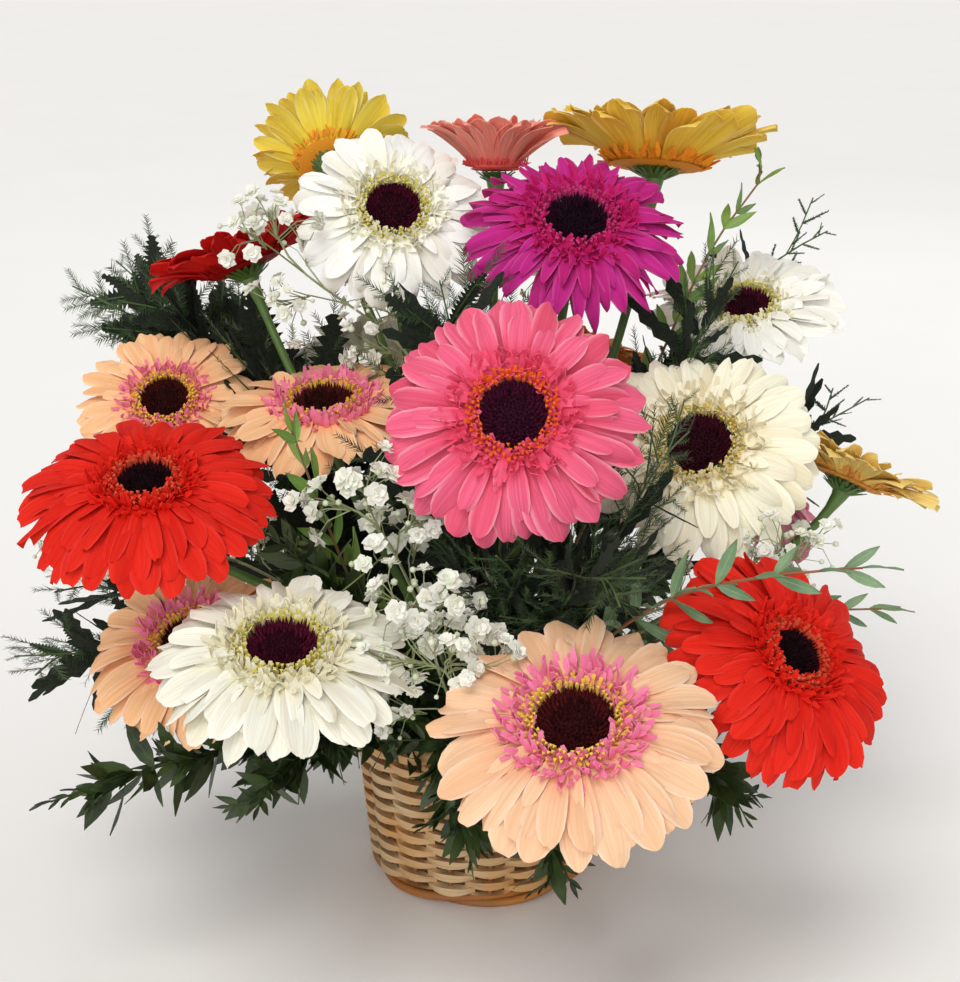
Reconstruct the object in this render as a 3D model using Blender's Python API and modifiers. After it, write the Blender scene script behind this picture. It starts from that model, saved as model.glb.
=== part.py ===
"""A round willow basket filled with gerberas, baby's breath and greenery.

Every stem is cut to a point in a block of floral foam, which sits in a plastic liner inside
the basket. The origin is the middle of the underside of the basket, +Z is up, and -Y is the
side that the arrangement is shown from. Metres.
"""

import math

import bmesh
import bpy
import numpy as np
from mathutils import Matrix, Vector

OBJECT_NAME = "flower_basket_arrangement"

GAP = 0.0003
MERGE = 0.00001

# The basket: a tapered woven wall on a border, with a disc for a floor.
FOOT_RADIUS = 0.0545
RIM_RADIUS = 0.0610
BASKET_HEIGHT = 0.086
FOOT_HEIGHT = 0.007
RIM_HEIGHT = 0.008
WALL_THICKNESS = 0.0055
BORDER_WIDTH = 0.0075
FLOOR_THICKNESS = 0.005
LINER_THICKNESS = 0.0008
TURN_STEPS = 34

# The foam: a block that stands above the rim with cut shoulders.
FOAM_TOP = 0.119
FOAM_CROWN_DROP = 0.002
FOAM_CROWN_RADIUS = 0.024
FOAM_SHOULDER_RADIUS = 0.042
FOAM_SHOULDER_HEIGHT = 0.104

# All the stems point at one spot inside the foam.
FOCUS = Vector((0.0, 0.0, 0.060))
ENTRY_RADIUS = 0.053
ENTRY_DEPTH = 0.017
LOWEST_ENTRY = math.radians(29)
STRAIGHT_RUN = 0.010
SPINE_SAMPLES = 25
SPINE_STEP = 3

# How the stems are kept apart: the room beside each one in the foam and in the air, and how
# many rounds the two sets of moves take.
SOCKET_SPACING = 0.0020
SOCKET_PLAY = 1.6 * GAP
PEG_REACH = 0.022
STEM_SPACING = 0.0013
ENTRY_ROUNDS = 400
SETTLE_ROUNDS = 90
NO_LENGTH = 1e-9
PUSH_SHARE = 0.5
HEAD_SIDE_SHARE = 0.3
SMOOTHING = 0.20
RETURN_SHARE = 0.01

STEM_SIDES = 6
TWIG_SIDES = 4
TWIG_TAPER = 0.45
STEM_RADIUS = 0.0023
TWIG_RADIUS = 0.0009
CALYX_LENGTH = 0.009
CALYX_DEPTH = 0.0030
EYE_RATIO = 0.16
PETAL_THICKNESS = 0.0016
EYE_HEIGHT = 0.0025
HEAD_SIDES = 16
HEAD_MARGIN = 0.004
HEAD_CLEARANCE = 0.007
SCALLOP = 0.94
SPRAY_START = 0.008

# name, middle of the head, where it faces (azimuth from the front, elevation), diameter,
# and how far the petal tips stand above the eye (below it where negative)
GERBERAS = (
    ("gerbera_coral_centre", (0.014, -0.089, 0.258), -5, 34, 0.112, -0.006),
    ("gerbera_peach_front", (0.037, -0.190, 0.162), -8, 60, 0.118, -0.006),
    ("gerbera_white_front", (-0.080, -0.155, 0.179), 6, 72, 0.112, -0.008),
    ("gerbera_red_left", (-0.141, -0.100, 0.231), 0, 68, 0.114, -0.008),
    ("gerbera_magenta_top", (0.045, 0.028, 0.318), 3, 56, 0.114, -0.008),
    ("gerbera_white_top", (-0.042, 0.060, 0.318), 8, 41, 0.102, -0.004),
    ("gerbera_cream_right", (0.101, -0.023, 0.224), -16, 44, 0.114, -0.006),
    ("gerbera_white_right", (0.134, 0.092, 0.262), -16, 68, 0.104, 0.004),
    ("gerbera_yellow_top_right", (0.088, 0.100, 0.333), 165, 72, 0.112, 0.026),
    ("gerbera_yellow_top_left", (-0.075, 0.112, 0.331), 180, 25, 0.078, 0.018),
    ("gerbera_coral_back", (0.008, 0.111, 0.330), 180, 78, 0.062, 0.026),
    ("gerbera_yellow_right", (0.176, 0.008, 0.198), 125, 60, 0.086, 0.012),
    ("gerbera_peach_centre_left", (-0.075, 0.019, 0.232), -20, 77, 0.108, -0.003),
    ("gerbera_peach_left", (-0.157, 0.060, 0.222), 0, 50, 0.090, 0.0),
    ("gerbera_red_back_left", (-0.118, 0.085, 0.285), -125, 62, 0.090, 0.016),
    ("gerbera_red_right", (0.131, -0.132, 0.166), 44, 45, 0.114, -0.008),
    ("gerbera_peach_low_left", (-0.130, -0.066, 0.144), -14, 61, 0.105, -0.006),
    ("gerbera_orange_back", (0.050, 0.122, 0.226), 170, 50, 0.096, -0.004),
    ("gerbera_white_back", (-0.062, 0.168, 0.214), -165, 40, 0.106, -0.005),
    ("gerbera_red_back", (0.035, 0.186, 0.160), 172, 38, 0.110, -0.006),
    ("gerbera_pink_back", (0.140, 0.120, 0.160), 132, 40, 0.106, -0.005),
)

# name, kind of leaf, points that the spine passes through, the last being its tip
SPRAYS = (
    ("gypsophila_centre", "flower", ((-0.024, -0.070, 0.160), (-0.050, -0.092, 0.228))),
    ("gypsophila_low_centre", "flower", ((-0.018, -0.085, 0.135), (-0.024, -0.136, 0.196))),
    ("gypsophila_front", "flower", ((-0.012, -0.100, 0.128), (-0.012, -0.160, 0.178))),
    (
        "gypsophila_top_left", "flower",
        ((-0.014, 0.045, 0.215), (-0.060, 0.042, 0.262), (-0.112, 0.028, 0.316)),
    ),
    (
        "gypsophila_left", "flower",
        ((-0.090, 0.000, 0.150), (-0.140, -0.010, 0.176), (-0.196, -0.034, 0.174)),
    ),
    ("gypsophila_right", "flower", ((0.080, -0.030, 0.140), (0.152, -0.046, 0.186))),
    ("gypsophila_top", "flower", ((0.030, 0.062, 0.225), (0.052, 0.094, 0.316))),
    ("gypsophila_back", "flower", ((-0.010, 0.100, 0.170), (0.000, 0.150, 0.236))),
    (
        "asparagus_fern_left_back", "fern",
        ((-0.080, 0.085, 0.175), (-0.150, 0.118, 0.240), (-0.200, 0.112, 0.262)),
    ),
    ("asparagus_fern_upper_left", "fern", ((-0.070, 0.080, 0.180), (-0.190, 0.128, 0.278))),
    ("asparagus_fern_top", "fern", ((0.000, -0.020, 0.200), (-0.018, 0.000, 0.296))),
    ("asparagus_fern_centre", "fern", ((0.015, -0.070, 0.150), (0.010, -0.112, 0.198))),
    ("asparagus_fern_centre_right", "fern", ((0.040, -0.075, 0.150), (0.066, -0.104, 0.192))),
    (
        "asparagus_fern_right", "fern",
        ((0.050, -0.055, 0.160), (0.064, -0.072, 0.205), (0.086, -0.066, 0.246)),
    ),
    ("asparagus_fern_top_right", "fern", ((0.075, 0.030, 0.200), (0.122, 0.034, 0.298))),
    ("asparagus_fern_low_left", "fern", ((-0.110, -0.020, 0.120), (-0.215, -0.050, 0.130))),
    ("asparagus_fern_far_left", "fern", ((-0.110, 0.000, 0.122), (-0.205, 0.000, 0.152))),
    (
        "asparagus_fern_front", "fern",
        ((0.030, -0.095, 0.160), (0.042, -0.128, 0.205), (0.052, -0.166, 0.206)),
    ),
    ("asparagus_fern_back", "fern", ((0.000, 0.110, 0.130), (-0.030, 0.215, 0.175))),
    ("cedar_top_right", "scale", ((0.078, 0.104, 0.205), (0.130, 0.150, 0.256), (0.182, 0.136, 0.292))),
    ("cedar_right", "scale", ((0.086, 0.054, 0.156), (0.198, 0.078, 0.218))),
    ("ruscus_low_left", "leaf", ((-0.085, -0.085, 0.110), (-0.187, -0.119, 0.092))),
    ("ruscus_front_left", "leaf", ((-0.056, -0.080, 0.110), (-0.108, -0.130, 0.096))),
    ("ruscus_over_basket", "leaf", ((-0.018, -0.073, 0.098), (-0.004, -0.082, 0.044))),
    ("ruscus_basket_right", "leaf", ((0.038, -0.072, 0.099), (0.026, -0.090, 0.032))),
    ("ruscus_right", "leaf", ((0.080, -0.070, 0.110), (0.118, -0.094, 0.072))),
    ("ruscus_left", "leaf", ((-0.046, -0.064, 0.148), (-0.092, -0.088, 0.204))),
    ("ruscus_back_left", "leaf", ((-0.090, 0.080, 0.110), (-0.165, 0.135, 0.120))),
    ("ruscus_back_right", "leaf", ((0.075, 0.100, 0.108), (0.110, 0.180, 0.090))),
    (
        "eucalyptus_right", "leaf",
        (
            (0.048, -0.090, 0.145), (0.064, -0.135, 0.192),
            (0.102, -0.158, 0.210), (0.150, -0.168, 0.218),
        ),
    ),
    ("eucalyptus_left", "leaf", ((-0.056, -0.056, 0.155), (-0.080, -0.076, 0.246))),
    (
        "eucalyptus_top_right", "leaf",
        ((0.085, 0.055, 0.220), (0.116, 0.082, 0.312), (0.150, 0.094, 0.324)),
    ),
    ("eucalyptus_far_right", "leaf", ((0.100, 0.000, 0.130), (0.190, -0.020, 0.142))),
)

# how many side shoots, their length, width and thickness, and their angle to the spine
SHOOTS = {
    "flower": (5, 0.030, 0.0010, 0.0010, 50),
    "fern": (4, 0.026, 0.0050, 0.0010, 45),
    "scale": (4, 0.028, 0.0060, 0.0012, 42),
    "leaf": (4, 0.026, 0.0080, 0.0010, 50),
}
FLORET_RADIUS = 0.0030
SHOOT_BAND = (0.52, 0.93)
SHOOT_FACE = 0.0011
SHOOT_FADE = 0.35

WILLOW = (0.56, 0.37, 0.20)
BROWN_WILLOW = (0.36, 0.19, 0.08)
FILM = (0.10, 0.12, 0.10)
FOAM = (0.10, 0.22, 0.09)
GREEN = (0.06, 0.13, 0.04)
PETALS = {
    "coral": (0.85, 0.13, 0.20),
    "peach": (0.88, 0.52, 0.32),
    "white": (0.86, 0.86, 0.78),
    "red": (0.68, 0.02, 0.01),
    "magenta": (0.50, 0.02, 0.26),
    "cream": (0.86, 0.80, 0.62),
    "yellow": (0.72, 0.48, 0.06),
    "orange": (0.86, 0.30, 0.05),
    "pink": (0.80, 0.22, 0.38),
}


def finish(name, colour, roughness):
    """A Principled material, made once for each name."""
    if name in bpy.data.materials:
        return bpy.data.materials[name]
    material = bpy.data.materials.new(name)
    material.use_nodes = True
    shader = material.node_tree.nodes["Principled BSDF"]
    shader.inputs["Base Color"].default_value = (*colour, 1.0)
    shader.inputs["Roughness"].default_value = roughness
    shader.inputs["Metallic"].default_value = 0.0
    return material


def add_object(name, mesh, collection, material=None):
    """A named object for a mesh, shaded smooth between its sharp edges."""
    piece = bpy.data.objects.new(name, mesh)
    collection.objects.link(piece)
    if material:
        mesh.materials.append(material)
    mesh.shade_smooth()
    mesh.set_sharp_from_angle(angle=math.radians(40))
    return piece


def add_turned(name, outline, collection, material, closed):
    """A solid of revolution about Z from (radius, height) points down its outer side."""
    profile = bmesh.new()
    points = [profile.verts.new((radius, 0.0, height)) for radius, height in outline]
    for first, second in zip(points, points[1:]):
        profile.edges.new((first, second))
    if closed:
        profile.edges.new((points[-1], points[0]))
    mesh = bpy.data.meshes.new(name)
    profile.to_mesh(mesh)
    profile.free()
    piece = add_object(name, mesh, collection, material)
    screw = piece.modifiers.new("turn", "SCREW")
    screw.axis = "Z"
    screw.steps = TURN_STEPS
    screw.render_steps = TURN_STEPS
    screw.use_merge_vertices = True
    screw.merge_threshold = MERGE
    return piece


def wall_radius(height):
    """The outer radius of the woven wall, which flares from the foot to the rim."""
    return FOOT_RADIUS + (RIM_RADIUS - FOOT_RADIUS) * height / BASKET_HEIGHT


def border_outline(outer, inner, low, high):
    """A border's section: a rectangle with its outer corners cut."""
    cut = 0.3 * (high - low)
    return (
        (outer - cut, high),
        (outer, high - cut),
        (outer, low + cut),
        (outer - cut, low),
        (inner, low),
        (inner, high),
    )


def add_basket(collection):
    """The floor, the foot border, the woven wall and the rim border."""
    willow = finish("willow", WILLOW, 0.65)
    brown = finish("brown_willow", BROWN_WILLOW, 0.6)
    wall_low = FOOT_HEIGHT + GAP
    wall_high = BASKET_HEIGHT - RIM_HEIGHT - GAP
    foot_inner = FOOT_RADIUS - BORDER_WIDTH
    floor_radius = foot_inner - GAP
    rim_outer = RIM_RADIUS + 0.2 * BORDER_WIDTH
    floor_outline = (
        (0.0, FLOOR_THICKNESS),
        (floor_radius, FLOOR_THICKNESS),
        (floor_radius, 0.0),
        (0.0, 0.0),
    )
    add_turned("basket_floor", floor_outline, collection, willow, closed=False)
    foot = border_outline(FOOT_RADIUS, foot_inner, 0.0, FOOT_HEIGHT)
    add_turned("basket_foot", foot, collection, brown, closed=True)
    wall = (
        (wall_radius(wall_high), wall_high),
        (wall_radius(wall_low), wall_low),
        (wall_radius(wall_low) - WALL_THICKNESS, wall_low),
        (wall_radius(wall_high) - WALL_THICKNESS, wall_high),
    )
    add_turned("basket_wall", wall, collection, willow, closed=True)
    rim = border_outline(
        rim_outer, RIM_RADIUS - WALL_THICKNESS, BASKET_HEIGHT - RIM_HEIGHT, BASKET_HEIGHT
    )
    add_turned("basket_rim", rim, collection, willow, closed=True)


def liner_radius(height):
    """The outer radius of the liner, just inside the wall and the foot."""
    at_wall = wall_radius(height) - WALL_THICKNESS - GAP
    at_foot = FOOT_RADIUS - BORDER_WIDTH - GAP
    return at_foot if height <= FOOT_HEIGHT + GAP else at_wall


def add_liner(collection):
    """A plastic film cup that keeps the foam's water off the willow."""
    low = FLOOR_THICKNESS + GAP
    step = FOOT_HEIGHT + 3 * GAP
    high = BASKET_HEIGHT
    outer_high = RIM_RADIUS - WALL_THICKNESS - GAP
    outer = min(outer_high, liner_radius(high))
    outline = (
        (0.0, low + LINER_THICKNESS),
        (liner_radius(low) - LINER_THICKNESS, low + LINER_THICKNESS),
        (outer - LINER_THICKNESS, high),
        (outer, high),
        (liner_radius(step), step),
        (liner_radius(low), step - GAP),
        (liner_radius(low), low),
        (0.0, low),
    )
    add_turned("basket_liner", outline, collection, finish("film", FILM, 0.3), closed=False)
    return outer - LINER_THICKNESS


def add_foam(collection, liner_inner, sockets):
    """The foam block, with one socket cut for each stem."""
    low = FLOOR_THICKNESS + LINER_THICKNESS + 2 * GAP
    foot = liner_radius(low) - LINER_THICKNESS - GAP
    neck = liner_inner - GAP
    outline = (
        (0.0, FOAM_TOP),
        (FOAM_CROWN_RADIUS, FOAM_TOP - FOAM_CROWN_DROP),
        (FOAM_SHOULDER_RADIUS, FOAM_SHOULDER_HEIGHT),
        (neck, BASKET_HEIGHT),
        (foot, low),
        (0.0, low),
    )
    foam = add_turned("floral_foam", outline, collection, finish("foam", FOAM, 0.95), closed=False)
    cut = foam.modifiers.new("sockets", "BOOLEAN")
    cut.operation = "DIFFERENCE"
    cut.solver = "EXACT"
    cut.object = sockets


def facing(azimuth, elevation):
    """The unit vector that faces a way given in degrees, 0 azimuth being the front."""
    around = math.radians(azimuth)
    up = math.radians(elevation)
    return Vector((math.sin(around) * math.cos(up), -math.cos(around) * math.cos(up), math.sin(up)))


def entry_direction(target):
    """From the focus towards a point, no lower than clears the rim."""
    way = Vector(target) - FOCUS
    level = Vector((way.x, way.y, 0.0))
    rise = max(math.atan2(way.z, level.length), LOWEST_ENTRY)
    level.normalize()
    return level * math.cos(rise) + Vector((0.0, 0.0, math.sin(rise)))


def hermite(start, start_way, end, end_way, count):
    """Points along the cubic that leaves start along start_way and arrives along end_way."""
    reach = (end - start).length
    controls = (start, start + start_way * reach * 0.36, end - end_way * reach * 0.30, end)
    shares = [index / (count - 1) for index in range(count)]
    points = []
    for share in shares:
        rest = 1.0 - share
        weights = (rest**3, 3 * rest**2 * share, 3 * rest * share**2, share**3)
        points.append(sum((w * c for w, c in zip(weights, controls)), Vector()))
    return points


def catmull(controls, count):
    """Points spread along a smooth curve through the control points."""
    ends = [2 * controls[0] - controls[1], *controls, 2 * controls[-1] - controls[-2]]
    pieces = len(controls) - 1
    points = []
    for index in range(count):
        place = index / (count - 1) * pieces
        start = min(int(place), pieces - 1)
        share = place - start
        before, first, second, after = ends[start : start + 4]
        points.append(
            0.5
            * (
                2 * first
                + (second - before) * share
                + (2 * before - 5 * first + 4 * second - after) * share**2
                + (3 * first - before - 3 * second + after) * share**3
            )
        )
    return points


class Plant:
    """One stem: its way out of the foam, its spine, and the head or the route of its own."""

    def __init__(self, name, radius, target, own):
        self.name = name
        self.radius = radius
        self.way = entry_direction(target)
        self.own = own
        self.spine = []

    def socket_points(self):
        deep = FOCUS + self.way * (ENTRY_RADIUS - ENTRY_DEPTH)
        out = FOCUS + self.way * (ENTRY_RADIUS + STRAIGHT_RUN)
        return deep, out


def spread_entries(plants):
    """Turn the entry directions apart until every socket has foam round it."""
    ways = np.array([plant.way for plant in plants])
    radii = np.array([plant.radius for plant in plants])
    room = radii[:, None] + radii[None, :] + SOCKET_SPACING
    depth = ENTRY_RADIUS - ENTRY_DEPTH
    for _ in range(ENTRY_ROUNDS):
        gaps = (ways[:, None] - ways[None, :]) * depth
        distance = np.linalg.norm(gaps, axis=2) + NO_LENGTH
        short = np.clip(room - distance, 0.0, None)
        np.fill_diagonal(short, 0.0)
        push = (gaps / distance[..., None] * short[..., None]).sum(axis=1)
        ways = ways + PUSH_SHARE * push / depth
        level = np.linalg.norm(ways[:, :2], axis=1)
        rise = np.clip(np.arctan2(ways[:, 2], level), LOWEST_ENTRY, None)
        ways[:, :2] *= (np.cos(rise) / (level + NO_LENGTH))[:, None]
        ways[:, 2] = np.sin(rise)
        if short.max() < MERGE:
            break
    for plant, way in zip(plants, ways):
        plant.way = Vector(way).normalized()


def settle_spines(plants, heads):
    """Let the stems bend round each other and under the flower heads, ends held still."""
    points = np.array([[tuple(p) for p in plant.spine] for plant in plants])
    rest = points.copy()
    radii = np.array([plant.radius for plant in plants])
    room = (radii[:, None] + radii[None, :] + STEM_SPACING)[:, None, :, None]
    count, samples = points.shape[:2]
    free = np.zeros(samples)
    free[2:-3] = 1.0
    same = np.eye(count, dtype=bool)[:, None, :, None]
    for _ in range(SETTLE_ROUNDS):
        gaps = points[:, :, None, None, :] - points[None, None, :, :, :]
        distance = np.sqrt((gaps**2).sum(axis=-1)) + NO_LENGTH
        short = np.where(same, 0.0, np.clip(room - distance, 0.0, None))
        push = (gaps * (short / distance)[..., None]).sum(axis=(2, 3))
        for head in heads:
            middle, axis, radius, cup, owner = head
            offset = points - middle
            height = offset @ axis
            across = offset - height[..., None] * axis
            reach = np.linalg.norm(across, axis=-1)
            above = height - cup * np.clip(reach / radius, 0, 1.1) ** 2
            inside = reach < radius + HEAD_MARGIN
            inside[owner] = False
            near = inside & (np.abs(above) < HEAD_CLEARANCE)
            through = (inside & (above > 0)).any(axis=1) & (inside & (above < 0)).any(axis=1)
            out_of_plane = np.where(above > 0, HEAD_CLEARANCE, -HEAD_CLEARANCE) - above
            beside = (near & ~through[:, None])[..., None]
            push += beside * out_of_plane[..., None] * axis * PUSH_SHARE
            outward = across / (reach[..., None] + NO_LENGTH)
            close = inside & (np.abs(above) < 3 * HEAD_CLEARANCE) & through[:, None]
            push += (close * (radius + HEAD_MARGIN - reach))[..., None] * outward * HEAD_SIDE_SHARE
        move = PUSH_SHARE * push
        move[:, 1:-1] += 0.5 * (0.5 * (move[:, :-2] + move[:, 2:]) - move[:, 1:-1])
        points += move * free[:, None]
        smooth = 0.5 * (points[:, :-2] + points[:, 2:]) - points[:, 1:-1]
        points[:, 1:-1] += SMOOTHING * smooth * free[1:-1, None]
        points += RETURN_SHARE * (rest - points) * free[:, None]
    for plant, line in zip(plants, points):
        plant.spine = [Vector(point) for point in line]


def plan_plants():
    """The gerberas and the sprays, with spines that keep clear of each other."""
    gerberas = []
    for name, middle, azimuth, elevation, diameter, cup in GERBERAS:
        axis = facing(azimuth, elevation)
        head = (Vector(middle), axis, diameter / 2, cup)
        gerberas.append(Plant(name, STEM_RADIUS, middle, head))
    sprays = []
    for name, kind, route in SPRAYS:
        points = [Vector(point) for point in route]
        sprays.append(Plant(name, TWIG_RADIUS, route[0], (kind, points)))
    plants = gerberas + sprays
    spread_entries(plants)
    heads = []
    for index, plant in enumerate(gerberas):
        middle, axis, radius, cup = plant.own
        heads.append((np.array(middle), np.array(axis), radius, cup, index))
        base = middle - axis * CALYX_LENGTH
        out = plant.socket_points()[1]
        plant.spine = hermite(out, plant.way, base, axis, SPINE_SAMPLES)
    for plant in sprays:
        out = plant.socket_points()[1]
        plant.spine = catmull([out, out + plant.way * SPRAY_START, *plant.own[1]], SPINE_SAMPLES)
    settle_spines(plants, heads)
    return gerberas, sprays


def turn_frames(points, first_normal):
    """A tangent, side and normal at each point, carried along the curve without twist."""
    frames = []
    normal = first_normal
    for index, _ in enumerate(points):
        before = points[max(index - 1, 0)]
        after = points[min(index + 1, len(points) - 1)]
        tangent = (after - before).normalized()
        normal = (normal - normal.dot(tangent) * tangent).normalized()
        frames.append((tangent, normal.cross(tangent), normal))
    return frames


def frame_matrix(point, frame, width=1.0, depth=1.0):
    """The matrix that puts a unit section across the curve at a point."""
    tangent, side, normal = frame
    turn = Matrix((side * width, normal * depth, tangent)).transposed()
    return Matrix.Translation(point) @ turn.to_4x4()


def sweep_stem(shape, points, frames, radii, sides):
    """Extrude a polygon along the points; returns the rings and the closing face."""
    start = bmesh.ops.create_circle(
        shape, cap_ends=True, segments=sides, radius=1.0,
        matrix=Matrix.Rotation(math.pi / sides, 4, "Z"),
    )["verts"]
    template = [vert.co.copy() for vert in start]
    face = start[0].link_faces[0]
    verts = start
    rings = []
    for index, (point, frame, radius) in enumerate(zip(points, frames, radii)):
        if index:
            face = bmesh.ops.extrude_discrete_faces(shape, faces=[face])["faces"][0]
            verts = list(face.verts)
        place = frame_matrix(point, frame, radius, radius)
        for vert, corner in zip(verts, template):
            vert.co = place @ corner
        rings.append(verts)
    return rings, face


def close_and_write(name, shape):
    """Fill what is open, turn the faces outward and make the mesh."""
    open_edges = [edge for edge in shape.edges if edge.is_boundary]
    bmesh.ops.holes_fill(shape, edges=open_edges)
    bmesh.ops.recalc_face_normals(shape, faces=shape.faces)
    mesh = bpy.data.meshes.new(name)
    shape.to_mesh(mesh)
    shape.free()
    return mesh


def add_ring(shape, middle, frame, height, radius, tip_ratio=1.0):
    """One ring of the flower head, at a height along its axis, every other point drawn in."""
    verts = bmesh.ops.create_circle(shape, segments=HEAD_SIDES, radius=radius)["verts"]
    tangent = frame[0]
    place = frame_matrix(middle + tangent * height, frame)
    for index, vert in enumerate(verts):
        scale = tip_ratio if index % 2 else 1.0
        vert.co = place @ Vector((vert.co.x * scale, vert.co.y * scale, 0.0))
    return verts


def ring_edges(verts):
    """The edges that join a ring's own vertices."""
    inside = set(verts)
    return [
        edge for edge in {edge for vert in verts for edge in vert.link_edges}
        if set(edge.verts) <= inside
    ]


def add_gerbera(plant, collection):
    """A stem that swells into the calyx, and a scalloped dish of petals round the eye."""
    middle, axis, radius, cup = plant.own
    deep = plant.socket_points()[0]
    line = plant.spine[::SPINE_STEP]
    points = [deep, *line]
    frames = turn_frames(points, Vector((0.0, 0.0, 1.0)))
    frames[-1] = (axis, *turn_frames([points[-1], points[-1] + axis], frames[-1][2])[0][1:])
    shape = bmesh.new()
    radii = [STEM_RADIUS] * len(points)
    rings, cap = sweep_stem(shape, points, frames, radii, STEM_SIDES)
    bmesh.ops.delete(shape, geom=[cap], context="FACES_ONLY")
    head_frame = frames[-1]
    eye = EYE_RATIO * radius
    half_cup = 0.25 * cup
    levels = (
        (-CALYX_DEPTH, eye, 1.0),
        (half_cup - PETAL_THICKNESS, 0.5 * radius, 1.0),
        (cup - PETAL_THICKNESS / 2, radius, SCALLOP),
        (cup + PETAL_THICKNESS / 2, radius, SCALLOP),
        (half_cup + PETAL_THICKNESS, 0.5 * radius, 1.0),
        (0.0010, eye * 1.05, 1.0),
        (EYE_HEIGHT, eye * 0.7, 1.0),
    )
    last = ring_edges(rings[-1])
    for height, size, tip_ratio in levels:
        ring = ring_edges(add_ring(shape, middle, head_frame, height, size, tip_ratio))
        bmesh.ops.bridge_loops(shape, edges=last + ring)
        last = ring
    mesh = close_and_write(plant.name, shape)
    colour = plant.name.split("_")[1]
    add_object(plant.name, mesh, collection, finish(f"petal_{colour}", PETALS[colour], 0.55))


def grow_shoot(shape, face, stations):
    """Extrude a face of the stem through (middle, width axis, depth axis, width, depth)."""
    for middle, across, deep, width, depth in stations:
        face = bmesh.ops.extrude_discrete_faces(shape, faces=[face])["faces"][0]
        verts = list(face.verts)
        corners = [
            middle + across * (i * width / 2) + deep * (j * depth / 2)
            for i, j in ((-1, -1), (1, -1), (1, 1), (-1, 1))
        ]
        centre = sum((vert.co for vert in verts), Vector()) / 4
        moved = [corner - middle + centre for corner in corners]
        shift = min(
            range(4),
            key=lambda turn: sum(
                (verts[k].co - moved[(k + turn) % 4]).length_squared for k in range(4)
            ),
        )
        for index, vert in enumerate(verts):
            vert.co = corners[(index + shift) % 4]


def shoot_stations(kind, root, way, across, deep, length, width, thickness):
    """The sections of a leaf, or of a twig that ends in a floret."""
    across = (across - across.dot(way) * way).normalized()
    deep = way.cross(across)
    if kind == "flower":
        ball = FLORET_RADIUS
        plan = (
            (0.25, width, thickness),
            (1.0 - ball / length, 0.8 * width, 0.8 * thickness),
            (1.0, 2 * ball, 2 * ball),
            (1.0 + ball / length, ball, ball),
        )
    else:
        plan = (
            (0.12, 0.2 * width, thickness),
            (0.5, width, thickness),
            (1.0, 0.3 * width, 0.6 * thickness),
        )
    return [(root + way * length * share, across, deep, w, d) for share, w, d in plan]


def add_spray(plant, collection):
    """A thin stem with shoots on alternate sides, all one closed skin."""
    kind = plant.own[0]
    count, length, width, thickness, angle = SHOOTS[kind]
    spine = plant.spine
    low, high = SHOOT_BAND
    nodes = [
        round((low + (high - low) * index / (count - 1)) * (SPINE_SAMPLES - 1))
        for index in range(count)
    ]
    plain = [index for index in range(0, SPINE_SAMPLES, SPINE_STEP + 1) if index < nodes[0] - 1]
    points = [plant.socket_points()[0]] + [spine[index] for index in plain]
    shoots = []
    for index in nodes:
        step = (spine[min(index + 1, SPINE_SAMPLES - 1)] - spine[index - 1]).normalized()
        shoots.append(len(points))
        points += [spine[index] - step * SHOOT_FACE, spine[index] + step * SHOOT_FACE]
    points.append(spine[-1])
    frames = turn_frames(points, Vector((0.0, 0.0, 1.0)))
    radii = [
        TWIG_RADIUS * math.sqrt(2) * (1.0 - TWIG_TAPER * place / len(points))
        for place in range(len(points))
    ]
    shape = bmesh.new()
    rings, _ = sweep_stem(shape, points, frames, radii, TWIG_SIDES)
    shape.normal_update()
    tilt = math.radians(angle)
    for number, station in enumerate(shoots):
        tangent, side, normal = frames[station]
        root = (points[station] + points[station + 1]) / 2
        side_way = side if number % 2 else -side
        if kind == "flower" and number % 3 == 2:
            side_way = normal
        way = (tangent * math.cos(tilt) + side_way * math.sin(tilt)).normalized()
        band = set(rings[station]) | set(rings[station + 1])
        beside = {face for vert in rings[station] for face in vert.link_faces}
        face = max(
            (face for face in beside if set(face.verts) <= band),
            key=lambda face: face.normal.dot(side_way),
        )
        fade = 1.0 - SHOOT_FADE * number / count
        across = tangent if kind != "flower" else normal
        stations = shoot_stations(kind, root, way, across, normal, length * fade, width, thickness)
        grow_shoot(shape, face, stations)
    mesh = close_and_write(plant.name, shape)
    plant_name = plant.name.split("_")[0]
    add_object(plant.name, mesh, collection, finish(plant_name, GREEN, 0.6))


def add_sockets(plants, cutters):
    """One mesh of pegs, each a little wider than the stem that it makes room for."""
    shape = bmesh.new()
    for plant in plants:
        deep, out = plant.socket_points()
        way = (out - deep).normalized()
        start = deep - way * GAP
        end = FOCUS + plant.way * (ENTRY_RADIUS + PEG_REACH)
        length = (end - start).length
        sides = STEM_SIDES if plant.radius > TWIG_RADIUS else TWIG_SIDES
        reach = plant.radius * (1.0 if sides == STEM_SIDES else math.sqrt(2))
        wide = (reach + SOCKET_PLAY) / math.cos(math.pi / sides)
        turn = Vector((0.0, 0.0, 1.0)).rotation_difference(way).to_matrix().to_4x4()
        bmesh.ops.create_cone(
            shape, cap_ends=True, segments=sides, radius1=wide, radius2=wide, depth=length,
            matrix=Matrix.Translation((start + end) / 2) @ turn,
        )
    mesh = bpy.data.meshes.new("stem_sockets")
    shape.to_mesh(mesh)
    shape.free()
    sockets = bpy.data.objects.new("stem_sockets", mesh)
    cutters.objects.link(sockets)
    sockets.hide_render = True
    sockets.display_type = "WIRE"
    return sockets


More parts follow.
